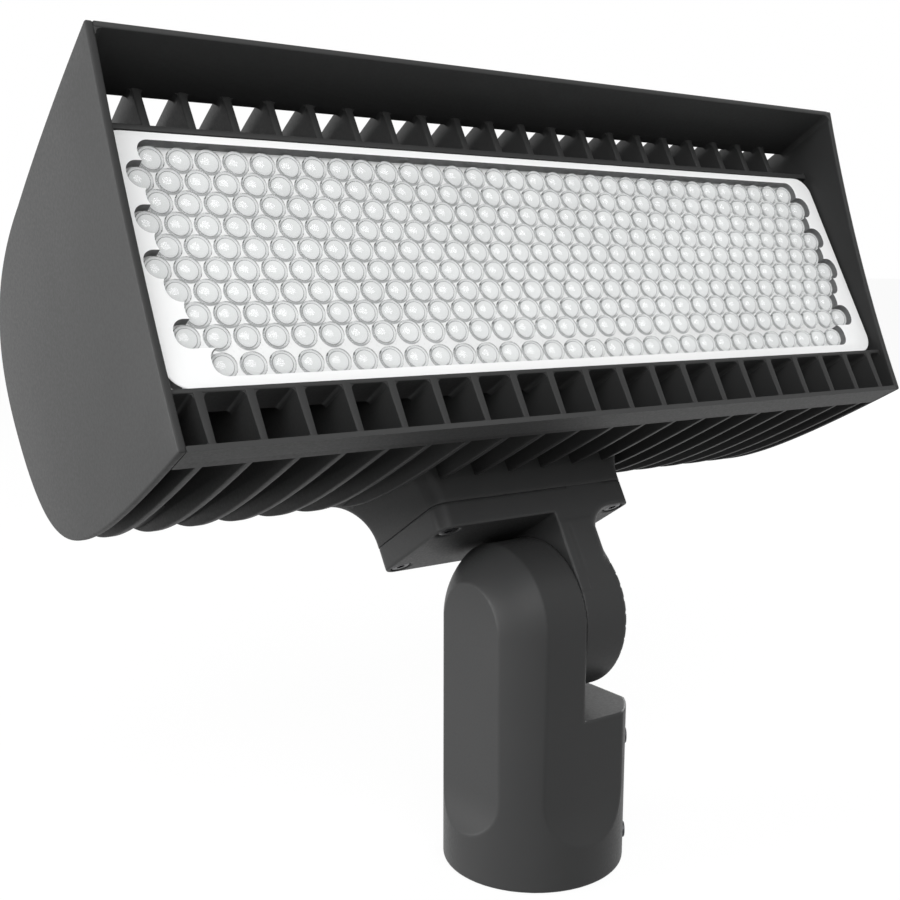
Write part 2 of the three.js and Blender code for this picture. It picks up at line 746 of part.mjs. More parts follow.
function driverBracket() {
  const rise = driverHeight / 2 + bracketRise;
  const plate = box(
    -bracketHalf, bracketHalf, bracketY, bracketY + bracketThickness, driverMiddle - rise, driverMiddle + rise,
  );
  return plate.subtract(union(driverScrewPlaces.map((x) => rodY(
    driverScrewRadius + holeClearance, bracketY - overrun, bracketY + bracketThickness + overrun,
    x, driverMiddle,
  ))));
}

function terminalBlock() {
  const x0 = bracketHalf + terminalGap;
  const z0 = driverMiddle - terminalHeight / 2;
  const body = box(x0, x0 + terminalWidth, bracketY, bracketY + terminalDepth, z0, z0 + terminalHeight);
  const pitch = terminalHeight / terminalPoles;
  const poles = union(spread(terminalPoles, pitch).map((dz) => rodY(
    terminalPoleRadius, bracketY + terminalDepth / 2, bracketY + terminalDepth + overrun,
    x0 + terminalWidth / 2, driverMiddle + dz, 8,
  )));
  return body.subtract(poles);
}

// Pocket of the pivot bolt's head in the knuckle arm, and the bolt's washers
const boltHeadRadius = (boltRadius * boltFlatsShare) / Math.sqrt(3);
const boltPocketRadius = boltHeadRadius + boltHeadRoom;
const washerRadius = boltPocketRadius - washerRoom;
const lockWasherRadius = washerRadius - lockWasherInset;
const boltStack = washerThickness + lockWasherThickness + boltHeadHeight + 3 * seatGap;
const boltPocketDepth = boltStack + boltHeadSink;

// Upper knuckle half with its flange, about the pivot axis
function knuckleArm() {
  const x0 = lapGap;
  const discX = x0 + discThickness;
  const neckX = discX - neckSetback;
  const neckBack = flangeBack - neckInset;
  const disc = rodX(knuckleRadius, x0, discX - discBevel, 0, 0, roundSteps);
  const rim = new THREE.CylinderGeometry(knuckleRadius - discBevel, knuckleRadius, discBevel, roundSteps);
  rim.rotateZ(-Math.PI / 2);
  rim.translate(discX - discBevel / 2, 0, 0);
  const r = neckEdgeRadius;
  const section = new THREE.Shape();
  section.moveTo(x0, -knuckleRadius);
  section.lineTo(neckX - r, -knuckleRadius);
  section.absarc(neckX - r, -knuckleRadius + r, r, -Math.PI / 2, 0, false);
  section.lineTo(neckX, neckBack - r);
  section.absarc(neckX - r, neckBack - r, r, 0, Math.PI / 2, false);
  section.lineTo(x0, neckBack);
  const neck = alongZ(section, 0, flangeUnderside + flangeThickness / 2, curveSteps / 2);
  const plate = alongZ(
    roundedRect(-flangeLeft, flangeRight, -knuckleRadius, flangeBack, flangeCorner),
    flangeUnderside,
    flangeTop,
    curveSteps / 2,
  );
  const web = new THREE.Shape();
  web.moveTo(neckX - r, flangeUnderside + overrun);
  web.lineTo(neckX - r, flangeUnderside - neckFillet);
  web.lineTo(neckX, flangeUnderside - neckFillet);
  web.absarc(neckX + neckFillet, flangeUnderside - neckFillet, neckFillet, Math.PI, Math.PI / 2, true);
  web.lineTo(neckX + neckFillet, flangeUnderside + overrun);
  const fillet = alongY(web, -knuckleRadius + r, neckBack - r, curveSteps);

  const recess = rodX(wireRecessRadius, x0 - overrun, x0 + wireRecessDepth, 0, 0, ringSteps)
    .subtract(rodX(pivotBossRadius, x0 - 2 * overrun, x0 + wireRecessDepth + overrun, 0, 0, ringSteps));
  const wireX = x0 + wireRecessDepth;
  const wireFoot = (wireRecessRadius + pivotBossRadius) / 2;
  const wireBore = rodZ(wireBoreRadius, wireFoot, flangeTop + overrun, wireX, 0);
  const boltHole = rodX(boltRadius + holeClearance, x0 - overrun, discX + overrun, 0, 0);
  const pocket = rodX(boltPocketRadius, discX - boltPocketDepth, discX + overrun, 0, 0, ringSteps);
  const ticks = union(spread(tickCount, tickSpacing).map((angle) => {
    const g = new THREE.BoxGeometry(2 * tickDepth, tickDepth, tickWidth);
    g.translate(discX - discBevel / 2, -knuckleRadius + discBevel / 2, 0);
    g.rotateX((angle + tickSpacing * tickCount / 4) * deg);
    return solid(g);
  }));
  const screws = union(flangeScrewPlaces(-flangeLeft, flangeRight).map(([x, y]) => rodZ(
    flangeScrewRadius + holeClearance, flangeUnderside - overrun, flangeTop + overrun, x, y,
  ).add(rodZ(
    flangeScrewHeadRadius + holeClearance, flangeUnderside - overrun, flangeUnderside + flangeScrewRecess, x, y,
  ))));
  return union([disc, solid(rim), neck, plate, fillet])
    .subtract(union([recess, wireBore, boltHole, pocket, ticks, screws]));
}

function flangeGasket() {
  const z0 = flangeTop + seatGap;
  const z1 = z0 + flangeGasketThickness;
  const outer = roundedRect(
    -flangeLeft + seatGap, flangeRight - seatGap, -knuckleRadius + seatGap, flangeBack - seatGap, flangeCorner,
  );
  const sheet = alongZ(outer, z0, z1, curveSteps / 2);
  const middle = box(
    -flangeLeft + pedestalWall, flangeRight - pedestalWall,
    -knuckleRadius + pedestalWall, flangeBack - pedestalWall, z0 - overrun, z1 + overrun,
  );
  const holes = union(flangeScrewPlaces(-flangeLeft, flangeRight).map(([x, y]) => rodZ(
    flangeScrewRadius + holeClearance, z0 - overrun, z1 + overrun, x, y,
  )));
  return sheet.subtract(middle).subtract(holes);
}

// Slip fitter: round socket below, flats that run out above the rim, round end at the pivot
const ledgeHeight = pivotHeight - knuckleRadius - ledgeClearance;
const socketDepth = ledgeHeight - socketRoof;
const bodyRadiusAt = (z) => socketRimRadius - bodyDraftShare * z;
const setScrewHeights = [setScrewLowHeight, socketDepth - setScrewHighInset];
const setScrewPlaces = [-1, 1].flatMap((way) => setScrewHeights.map((z) => [way * setScrewAngle * deg, z]));

// A flat at a distance from the axis, running out downward in a hollow curve
function flatCut(reach, turn) {
  const s = new THREE.Shape();
  const top = pivotHeight + socketRimRadius + overrun;
  s.moveTo(reach, top);
  s.lineTo(reach, flatRunoutHeight);
  s.absarc(reach + flatRunoutRadius, flatRunoutHeight, flatRunoutRadius, Math.PI, 1.5 * Math.PI, false);
  s.lineTo(reach + flatRunoutRadius, top);
  return solid(extrudeX(s, -socketRimRadius, socketRimRadius).rotateZ(turn));
}

// A radial rod at an angle from the X axis
function rodOut(radius, r0, r1, [angle, z], steps = smallSteps) {
  const g = new THREE.CylinderGeometry(radius, radius, r1 - r0, steps);
  g.rotateZ(-Math.PI / 2);
  g.translate((r0 + r1) / 2, 0, 0);
  g.rotateZ(angle);
  g.translate(0, 0, z);
  return solid(g);
}

function slipFitter() {
  const topRadius = bodyRadiusAt(pivotHeight);
  const crown = new THREE.Path()
    .absarc(0, pivotHeight, topRadius, 0, Math.PI / 2, false)
    .getPoints(curveSteps + 2);
  crown[crown.length - 1].x = 0;
  const profile = [new THREE.Vector2(0, 0), new THREE.Vector2(socketRimRadius, 0), ...crown];
  const turned = solid(new THREE.LatheGeometry(profile, roundSteps).rotateX(Math.PI / 2));
  const wide = socketRimRadius + overrun;
  const arch = box(-wide, wide, -wide, wide, -overrun, pivotHeight)
    .add(rodX(knuckleRadius, -wide, wide, 0, pivotHeight, roundSteps));
  const flats = union([
    flatCut(knuckleRadius, 0),
    flatCut(knuckleRadius, Math.PI),
    flatCut(sideFlatReach, Math.PI / 2),
  ]);
  const lap = box(0, wide, -wide, wide, ledgeHeight, pivotHeight + wide);
  const socket = rodZ(socketRadius, -overrun, socketDepth, 0, 0, roundSteps);
  const recess = rodX(wireRecessRadius, -wireRecessDepth, overrun, 0, pivotHeight, ringSteps)
    .subtract(rodX(pivotBossRadius, -wireRecessDepth - overrun, 2 * overrun, 0, pivotHeight, ringSteps));
  const wireTop = pivotHeight - (wireRecessRadius + pivotBossRadius) / 2;
  const wireBore = rodZ(wireBoreRadius, socketDepth - overrun, wireTop, -wireRecessDepth, 0);
  const boltHole = rodX(boltRadius + holeClearance, -boltReach - boltTipRoom, overrun, 0, pivotHeight);
  const screwHoles = union(setScrewPlaces.map((place) => rodOut(
    setScrewRadius + holeClearance, socketRadius - overrun, socketRimRadius + overrun, place,
  )));
  return turned.intersect(arch)
    .subtract(union([flats, lap, socket, recess, wireBore, boltHole, screwHoles]));
}

function setScrew(place) {
  const outer = bodyRadiusAt(place[1]) + setScrewProud;
  const body = rodOut(setScrewRadius, socketRadius + seatGap, outer, place);
  const key = setScrewKeyFlats / Math.sqrt(3);
  return body.subtract(rodOut(key, outer - setScrewKeyDepth, outer + overrun, place, 6));
}

// Pivot bolt with its washers, in the pocket of the knuckle arm
const washerX = lapGap + discThickness - boltPocketDepth + seatGap;
const lockWasherX = washerX + washerThickness + seatGap;
const boltHeadX = lockWasherX + lockWasherThickness + seatGap;

function pivotBolt() {
  const head = rodX(boltHeadRadius, boltHeadX, boltHeadX + boltHeadHeight, 0, 0, 6);
  return head.add(rodX(boltRadius, -boltReach, boltHeadX + boltHeadHeight / 2, 0, 0));
}

function washer(x, thickness, radius) {
  return rodX(radius, x, x + thickness, 0, 0, ringSteps)
    .subtract(rodX(boltRadius + holeClearance, x - overrun, x + thickness + overrun, 0, 0));
}

const post = new THREE.Group();
post.add(mesh('slip_fitter', slipFitter(), postPaint()));
setScrewPlaces.forEach((place, i) => post.add(mesh(`set_screw_${i + 1}`, setScrew(place), blackSteel())));

const head = new THREE.Group();
head.position.z = pivotHeight;
head.rotation.x = -headLean * deg;
head.add(
  mesh('knuckle_arm', knuckleArm(), postPaint()),
  mesh('pivot_washer', washer(washerX, washerThickness, washerRadius), brightSteel()),
  mesh('pivot_lock_washer', washer(lockWasherX, lockWasherThickness, lockWasherRadius), brightSteel()),
  mesh('pivot_bolt', pivotBolt(), brightSteel()),
  mesh('flange_gasket', flangeGasket(), sealRubber()),
);
flangeScrewPlaces(-flangeLeft, flangeRight).forEach((place, i) => {
  head.add(mesh(`flange_screw_${i + 1}`, flangeScrew(place), blackSteel()));
});

const casting = new THREE.Group();
casting.position.x = headOffset;
casting.add(
  mesh('heatsink_housing', heatsinkHousing(), castPaint()),
  mesh('side_panel_left', sidePanel(-1), castPaint()),
  mesh('side_panel_right', sidePanel(1), castPaint()),
  mesh('visor', visor(), castPaint()),
  mesh('led_board_left', ledBoard(-1), boardWhite()),
  mesh('led_board_right', ledBoard(1), boardWhite()),
  mesh('lens_gasket', lensGasket(), sealRubber()),
  mesh('optic_array', opticArray(), clearOptic()),
  mesh('reflector_frame', reflectorFrame(), whitePlate()),
  mesh('rear_cover_gasket', rearCoverGasket(), sealRubber()),
  mesh('rear_cover', rearCover(), castPaint()),
  mesh('driver_bracket', driverBracket(), brightSteel()),
  mesh('led_driver', driver(), driverCase()),
  mesh('terminal_block', terminalBlock(), terminalPlastic()),
);
coverScrewPlaces.forEach((place, i) => {
  casting.add(mesh(`rear_cover_screw_${i + 1}`, coverScrew(place), blackSteel()));
});
driverScrewPlaces.forEach((x, i) => {
  casting.add(mesh(`driver_screw_${i + 1}`, driverScrew(x), brightSteel()));
});
head.add(casting);

const group = new THREE.Group();
group.add(post, head);

export default group;
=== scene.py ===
# Outdoor floodlight head on a slip fitter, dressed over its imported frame.
# Sizes are millimetres. Pieces of the head are measured from the tilt axis: x along the width,
# y away from the light's front, z up. Pieces of the post are measured from the middle of its rim.
# They are turned and scaled to metres when a piece is made.
import math
import bmesh
import bpy
import numpy as np
from mathutils import Matrix, Vector


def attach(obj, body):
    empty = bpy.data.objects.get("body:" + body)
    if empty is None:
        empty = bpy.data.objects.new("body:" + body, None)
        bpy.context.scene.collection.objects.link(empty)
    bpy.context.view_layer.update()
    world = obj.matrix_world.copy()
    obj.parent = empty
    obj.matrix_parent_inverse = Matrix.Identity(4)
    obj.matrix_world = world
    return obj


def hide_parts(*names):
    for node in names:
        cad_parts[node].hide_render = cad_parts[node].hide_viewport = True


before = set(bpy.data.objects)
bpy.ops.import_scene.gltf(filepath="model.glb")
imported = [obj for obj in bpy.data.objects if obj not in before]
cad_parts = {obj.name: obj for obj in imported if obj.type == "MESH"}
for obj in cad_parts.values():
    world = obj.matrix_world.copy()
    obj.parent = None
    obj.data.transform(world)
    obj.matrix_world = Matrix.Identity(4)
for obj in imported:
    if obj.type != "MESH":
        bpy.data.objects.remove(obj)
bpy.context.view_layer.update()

# Places shared by all pieces
LEAN = math.radians(31)
PIVOT = 109.8  # tilt axis above the rim
OFFSET = -6.4  # middle of the casting from the middle of the knuckle
HALF = 170.0  # outer faces of the side panels
INNER = 167.3  # inner faces of the side panels
SINK = 0.2  # how far joined solids run into each other
JOINED = INNER + SINK
QUARTER = math.pi / 2

POST = Matrix.Scale(0.001, 4)
HEAD = POST @ Matrix.Translation((0, 0, PIVOT)) @ Matrix.Rotation(-LEAN, 4, "X")
CAST = HEAD @ Matrix.Translation((OFFSET, 0, 0))


def add(made):
    bpy.context.scene.collection.objects.link(made)


# Solids from flat shapes
def placed(p, along, axis):
    return {"x": (along, p[0], p[1]), "y": (p[0], along, p[1]), "z": (p[0], p[1], along)}[axis]


def to_mesh(bm):
    bmesh.ops.recalc_face_normals(bm, faces=bm.faces)
    mesh = bpy.data.meshes.new("solid")
    bm.to_mesh(mesh)
    bm.free()
    return mesh


# Closes the rings of a solid's skin with quads
def skin_rings(bm, rings):
    count = len(rings[0])
    for low, high in zip(rings, rings[1:]):
        for i in range(count):
            j = (i + 1) % count
            bm.faces.new((low[i], low[j], high[j], high[i]))
    bm.faces.new(rings[0])
    bm.faces.new(rings[-1])


# An edge is bevelled where its faces meet at more than the sharp angle
def prism(points, axis, low, high, edge=0.0, steps=2, sharp=28):
    bm = bmesh.new()
    rings = [[bm.verts.new(placed(p, along, axis)) for p in points] for along in (low, high)]
    skin_rings(bm, rings)
    bmesh.ops.recalc_face_normals(bm, faces=bm.faces)
    if edge:
        chosen = [e for e in bm.edges if e.calc_face_angle(0) > math.radians(sharp)]
        bmesh.ops.bevel(bm, geom=chosen, offset=edge, segments=steps, profile=0.5,
                        affect="EDGES", clamp_overlap=True)
    return to_mesh(bm)


def block(x0, x1, y0, y1, z0, z1, edge=0.0):
    return prism([(x0, y0), (x1, y0), (x1, y1), (x0, y1)], "z", z0, z1, edge)


def circle(steps):
    return [2 * math.pi * i / steps for i in range(steps)]


def turned(profile, axis, centre, steps):
    bm = bmesh.new()
    rings = []
    for radius, along in profile:
        if radius == 0:
            rings.append([bm.verts.new(placed(centre, along, axis))])
            continue
        ring = []
        for a in circle(steps):
            p = (centre[0] + radius * math.cos(a), centre[1] + radius * math.sin(a))
            ring.append(bm.verts.new(placed(p, along, axis)))
        rings.append(ring)
    for low, high in zip(rings, rings[1:]):
        for i in range(steps):
            j = (i + 1) % steps
            face = [low[i % len(low)], low[j % len(low)],
                    high[j % len(high)], high[i % len(high)]]
            face = list(dict.fromkeys(face))
            if len(face) > 2:
                bm.faces.new(face)
    return to_mesh(bm)


def rod(radius, axis, low, high, centre, steps=20):
    return turned([(0, low), (radius, low), (radius, high), (0, high)], axis, centre, steps)


# Six points of a hexagon, from its corner radius
def hexagon(corner, x=0.0, y=0.0):
    return [(x + corner * math.cos(a), y + corner * math.sin(a)) for a in circle(6)]


# Rectangle with round corners
def rounded(x0, x1, z0, z1, r, steps):
    out = []
    for cx, cz, start in ((x1 - r, z0 + r, -90), (x1 - r, z1 - r, 0),
                          (x0 + r, z1 - r, 90), (x0 + r, z0 + r, 180)):
        for k in range(steps + 1):
            a = math.radians(start + 90 * k / steps)
            out.append((cx + r * math.cos(a), cz + r * math.sin(a)))
    return out


def gather(meshes):
    bm = bmesh.new()
    for mesh in meshes:
        bm.from_mesh(mesh)
    return to_mesh(bm)


# Joining and cutting closed solids
def combined(first, others, how="UNION"):
    holder = bpy.data.objects.new("work", first)
    add(holder)
    tools = []
    for other in others:
        tool = bpy.data.objects.new("tool", other)
        add(tool)
        tools.append(tool)
        step = holder.modifiers.new("step", "BOOLEAN")
        step.operation = how
        step.object = tool
        step.solver = "MANIFOLD"
    view = bpy.context.evaluated_depsgraph_get()
    made = bpy.data.meshes.new_from_object(holder.evaluated_get(view))
    for o in [holder, *tools]:
        bpy.data.objects.remove(o)
    return made


PROBE_SHARE = 0.02  # of a grid step, to measure a slope over
DRIFT_SHARE = 0.7  # of a grid step, that a point may move
LEAST_SLOPE = 0.05
ROUNDS = 5


def slope_of(field, place, small):
    return np.stack([(field(*(place + way * small).T) - field(*(place - way * small).T))
                     / (2 * small) for way in np.eye(3)], 1)


# A solid from a field that is negative inside it and roughly a distance near its surface:
# one point in each grid cell that the surface crosses, moved onto the surface afterwards
def sculpt(field, low, high, step):
    low, high = np.array(low, float), np.array(high, float)
    n = np.ceil((high - low) / step).astype(int) + 1
    axes = [low[i] + step * np.arange(n[i]) for i in range(3)]
    grid = np.meshgrid(*axes, indexing="ij")
    value = field(*grid)
    inside = value < 0
    cells = n - 1
    total = np.zeros((*cells, 3))
    count = np.zeros(cells)
    for a in range(3):
        u, v = [i for i in range(3) if i != a]
        head = [slice(None)] * 3
        tail = [slice(None)] * 3
        head[a], tail[a] = slice(0, -1), slice(1, None)
        f0, f1 = value[tuple(head)], value[tuple(tail)]
        cross = inside[tuple(head)] != inside[tuple(tail)]
        share = np.where(cross, f0 / np.where(cross, f0 - f1, 1), 0)
        points = np.stack([g[tuple(head)] for g in grid], -1)
        points[..., a] += share * step
        points *= cross[..., None]
        for du in (0, 1):
            for dv in (0, 1):
                pick = [slice(None)] * 3
                pick[u] = slice(du, du + cells[u])
                pick[v] = slice(dv, dv + cells[v])
                total += points[tuple(pick)]
                count += cross[tuple(pick)]
    used = count > 0
    index = -np.ones(cells, int)
    index[used] = np.arange(used.sum())
    place = total[used] / count[used][:, None]
    faces = []
    for a in range(3):
        u, v = [i for i in range(3) if i != a]
        head = [slice(1, -1)] * 3
        tail = [slice(1, -1)] * 3
        head[a], tail[a] = slice(0, -1), slice(1, None)
        i0, i1 = inside[tuple(head)], inside[tuple(tail)]
        where = np.argwhere(i0 != i1)
        down = i0[i0 != i1]
        where += 1
        where[:, a] -= 1
        corner = []
        for du, dv in ((0, 0), (1, 0), (1, 1), (0, 1)):
            c = where.copy()
            c[:, u] -= du
            c[:, v] -= dv
            corner.append(index[c[:, 0], c[:, 1], c[:, 2]])
        quad = np.stack(corner, 1)
        turn = down if a != 1 else ~down
        quad[turn] = quad[turn][:, ::-1]
        faces.append(quad)
    faces = np.concatenate(faces)[:, ::-1]
    limit = DRIFT_SHARE * step
    start = place.copy()
    for _ in range(ROUNDS):
        slope = slope_of(field, place, PROBE_SHARE * step)
        size = np.maximum((slope ** 2).sum(1), LEAST_SLOPE)
        place = place - slope * (field(*place.T) / size)[:, None]
        place = start + np.clip(place - start, -limit, limit)
    mesh = bpy.data.meshes.new("solid")
    mesh.from_pydata(place.tolist(), [], faces.tolist())
    mesh.validate()
    return mesh


# What two fields share, with the edge between them rounded off
def both(a, b, soft):
    h = np.maximum(soft - abs(a - b), 0) / soft
    return np.maximum(a, b) + h * h * soft / 4


def either(a, b, soft):
    return -both(-a, -b, soft)


def without(a, b, soft):
    return both(a, -b, soft)


def slab(v, low, high):
    return np.maximum(low - v, v - high)


# Finished pieces; edges sharper than the angle stay sharp
def piece(name, mesh, matrix, body, materials, replaces, angle):
    mesh.transform(matrix)
    mesh.name = name
    made = bpy.data.objects.new(name, mesh)
    add(made)
    mesh.materials.clear()
    for m in materials:
        mesh.materials.append(m)
    mesh.polygons.foreach_set("use_smooth", [True] * len(mesh.polygons))
    if angle:
        mesh.set_sharp_from_angle(angle=math.radians(angle))
    mesh.update()
    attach(made, body)
    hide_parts(*replaces)
    return made


# Materials
WINDOW = (0.3, 0.7)  # values of a noise between which its contrast lies
METAL_WINDOW = (0.35, 0.65)
WEAR_WINDOW = (0.53, 0.60)  # pointiness of a softly worn edge
WEAR = 0.35  # share of the worn colour on such an edge
WORN_GAIN, WORN_LIFT = 1.9, 0.01
METAL_SHADE = 0.8  # of a metal's colour, in its darker grain


class Surface:
    def __init__(self, name):
        self.material = bpy.data.materials.new(name)
        self.material.use_nodes = True
        self.tree = self.material.node_tree
        self.tree.nodes.clear()
        self.out = self.node("ShaderNodeOutputMaterial")
        self.shader = self.node("ShaderNodeBsdfPrincipled")
        self.join(self.shader, "BSDF", self.out, "Surface")
        self.place = self.node("ShaderNodeTexCoord")

    def node(self, kind, **settings):
        made = self.tree.nodes.new(kind)
        for key, value in settings.items():
            setattr(made, key, value)
        return made

    def join(self, a, out, b, into):
        self.tree.links.new(a.outputs[out], b.inputs[into])

    def noise(self, scale, detail=2.0, rough=0.5):
        made = self.node("ShaderNodeTexNoise")
        made.inputs["Scale"].default_value = scale
        made.inputs["Detail"].default_value = detail
        made.inputs["Roughness"].default_value = rough
        self.join(self.place, "Object", made, "Vector")
        return made

    def spread(self, source, out, low, high, window):
        made = self.node("ShaderNodeMapRange")
        made.inputs["From Min"].default_value = window[0]
        made.inputs["From Max"].default_value = window[1]
        made.inputs["To Min"].default_value = low
        made.inputs["To Max"].default_value = high
        self.join(source, out, made, "Value")
        return made

    def blend(self, source, first, second, window=WINDOW):
        made = self.node("ShaderNodeValToRGB")
        made.color_ramp.elements[0].position = window[0]
        made.color_ramp.elements[1].position = window[1]
        made.color_ramp.elements[0].color = (*first, 1)
        made.color_ramp.elements[1].color = (*second, 1)
        self.join(source, "Fac", made, "Fac")
        return made

    def paint(self, tone):
        self.join(tone, "Color", self.shader, "Base Color")

    def roughen(self, source, rough, below, above):
        finish = self.spread(source, "Fac", rough - below, rough + above, WINDOW)
        self.join(finish, "Result", self.shader, "Roughness")

    def bump(self, source, strength, distance):
        made = self.node("ShaderNodeBump")
        made.inputs["Strength"].default_value = strength
        made.inputs["Distance"].default_value = distance
        self.join(source, "Fac", made, "Height")
        self.join(made, "Normal", self.shader, "Normal")

    def value(self, name, amount):
        self.shader.inputs[name].default_value = amount


# Powder coat: fine peel, slow clouds of tone, lighter worn edges
def coated(name, dark, light, rough, gloss):
    s = Surface(name)
    colour = s.blend(s.noise(scale=14.0, detail=3.0), dark, light)
    edge = s.spread(s.node("ShaderNodeNewGeometry"), "Pointiness", 0.0, WEAR, WEAR_WINDOW)
    mixed = s.node("ShaderNodeMix", data_type="RGBA")
    s.join(edge, "Result", mixed, "Factor")
    s.join(colour, "Color", mixed, "A")
    worn = [min(1, c * WORN_GAIN + WORN_LIFT) for c in light]
    mixed.inputs["B"].default_value = (*worn, 1)
    s.join(mixed, "Result", s.shader, "Base Color")
    peel = s.noise(scale=900.0, rough=0.55)
    s.roughen(peel, rough, below=0.05, above=0.07)
    s.bump(peel, strength=0.25, distance=0.00003)
    s.value("Specular IOR Level", gloss)
    return s.material


def metal(name, colour, rough):
    s = Surface(name)
    fine = s.noise(scale=1500.0, detail=3.0)
    s.paint(s.blend(fine, [c * METAL_SHADE for c in colour], colour, METAL_WINDOW))
    s.roughen(fine, rough, below=0.08, above=0.1)
    s.bump(fine, strength=0.2, distance=0.00002)
    s.value("Metallic", 1.0)
    return s.material


def plastic(name, dark, light, rough, grain=700.0, depth=0.00002, gloss=0.5):
    s = Surface(name)
    s.paint(s.blend(s.noise(scale=25.0, detail=3.0), dark, light))
    fine = s.noise(scale=grain)
    s.roughen(fine, rough, below=0.05, above=0.06)
    s.bump(fine, strength=0.2, distance=depth)
    s.value("Specular IOR Level", gloss)
    return s.material


# Smooth plastic of the light's window
def fine_plastic(name, dark, light, rough):
    return plastic(name, dark, light, rough, grain=900.0, depth=0.00001)


def glass(name, dark, light):
    s = Surface(name)
    s.paint(s.blend(s.noise(scale=60.0), dark, light))
    fine = s.noise(scale=500.0)
    s.roughen(fine, 0.12, below=0.0, above=0.03)
    s.bump(fine, strength=0.02, distance=0.00001)
    s.value("Transmission Weight", 0.95)
    s.value("IOR", 1.45)
    s.value("Specular IOR Level", 0.25)
    return s.material


charcoal = coated("charcoal_powder_coat", (0.0285, 0.0288, 0.0288), (0.032, 0.0323, 0.0323),
                  rough=0.52, gloss=0.14)
post_coat = coated("post_powder_coat", (0.0295, 0.0298, 0.03), (0.033, 0.0333, 0.0335),
                   rough=0.45, gloss=0.15)
black_steel = metal("black_oxide_steel", (0.06, 0.06, 0.065), rough=0.38)
bright_steel = metal("zinc_plated_steel", (0.62, 0.63, 0.65), rough=0.32)
rubber = plastic("seal_rubber", (0.012, 0.012, 0.013), (0.02, 0.02, 0.021), rough=0.75,
                 grain=1200.0, depth=0.00004, gloss=0.3)
white = fine_plastic("white_reflector", (0.87, 0.875, 0.875), (0.90, 0.905, 0.905), rough=0.38)
dome_ring = fine_plastic("optic_dome_ring", (0.14, 0.143, 0.143), (0.17, 0.174, 0.174), rough=0.4)
# Near-black spots on two sides of each dome's base ring: painted shade, standing for the dark
# refraction of the surroundings in the domes
dome_painted_spot = fine_plastic("optic_dome_painted_spot", (0.04, 0.041, 0.041), (0.055, 0.056, 0.056), rough=0.4)
# Dark grey for the walls of the frame's opening: painted shade, standing for the shadow inside the
# opening
painted_shade_wall_grey = plastic("reflector_wall_painted_shade", (0.125, 0.127, 0.128), (0.145, 0.147, 0.148), rough=0.5)
plate_white = fine_plastic("optic_plate_white", (0.73, 0.735, 0.735), (0.76, 0.765, 0.765),
                           rough=0.3)
dome_base = fine_plastic("optic_dome_base", (0.43, 0.435, 0.435), (0.47, 0.475, 0.475), rough=0.4)
lens = glass("moulded_optic", (0.85, 0.86, 0.86), (0.88, 0.89, 0.89))
# Darker glass for the domes' stepped walls: painted shade for the dark outlines that refraction
# draws round each dome
lens_edge_painted_shade = glass("moulded_optic_edge_painted_shade", (0.42, 0.43, 0.43), (0.48, 0.49, 0.49))
board = plastic("board_mask", (0.80, 0.80, 0.77), (0.86, 0.86, 0.83), rough=0.45)
case = metal("driver_case_metal", (0.55, 0.56, 0.58), rough=0.4)
terminal = plastic("terminal_body", (0.62, 0.60, 0.54), (0.70, 0.68, 0.61), rough=0.5)


# Points along a curve, without its last one
def bezier(points, steps):
    out = []
    for i in range(steps):
        t = i / steps
        row = [Vector(p) for p in points]
        while len(row) > 1:
            row = [a.lerp(b, t) for a, b in zip(row, row[1:])]
        out.append(tuple(row[0]))
    return out


# Height of a line of points at a place along it, and the place where it has a height
def height_at(points, place):
    pts = sorted(points)
    return float(np.interp(place, [p[0] for p in pts], [p[1] for p in pts]))


def place_at(points, height):
    return height_at([(p[1], p[0]) for p in points], height)


# Side outline of the head, in y and z
TIP, SHOULDER, REAR = (-113.4, 178.4), (-17.6, 179.2), (50.95, 125.7)
BELLY, LIP = (-7.1, 57.6), (-93.9, 49.5)
TOP = bezier([TIP, (-60, 181.2), SHOULDER], steps=12)
UPPER_BACK = bezier([SHOULDER, (22.3, 179.2), (REAR[0], 165.8), REAR], steps=36)
LOWER_BACK = bezier([REAR, (REAR[0], 76.0), (26.7, 64.4), BELLY], steps=36)
KEEL = bezier([BELLY, (-35, 52), LIP], steps=12)
FRONT = bezier([LIP, (-97.95, 113.95), TIP], steps=14)
OUTLINE = TOP + UPPER_BACK + LOWER_BACK + KEEL + FRONT


def spread_out(count, margin):
    half = INNER - margin
    return [-half + 2 * half * i / (count - 1) for i in range(count)]


WEB_SINK = 0.25
WEB_STEPS = 5


# Concave fillet in a corner that runs along an axis
def web(corner, out, radius, axis, low, high):
    (cx, cz), (dx, dz) = corner, out
    points = [(cx - dx * WEB_SINK, cz - dz * WEB_SINK), (cx + dx * radius, cz - dz * WEB_SINK)]
    for i in range(WEB_STEPS + 1):
        a = QUARTER * i / WEB_STEPS
        points.append((cx + dx * radius * (1 - math.sin(a)), cz + dz * radius * (1 - math.cos(a))))
    points.append((cx - dx * WEB_SINK, cz + dz * radius))
    return prism(points, axis, low, high)


# Driver bay
BAY_FRONT, BAY_REAR = -9.1, 53.2
BAY_FLOOR, BAY_ROOF = 64.5, 171.5
BAY_FLOOR_REAR, BAY_ROOF_REAR = 88.2, 163.2
BAY_TURN_SHARE = 0.72  # of its depth, where floor and roof begin to close in
BAY_STEPS = 14
BAY_WALL = 3.0
BAY_BACK = 38.7  # inner face of the wall that carries the cover
ABOVE_ALL = 181.0


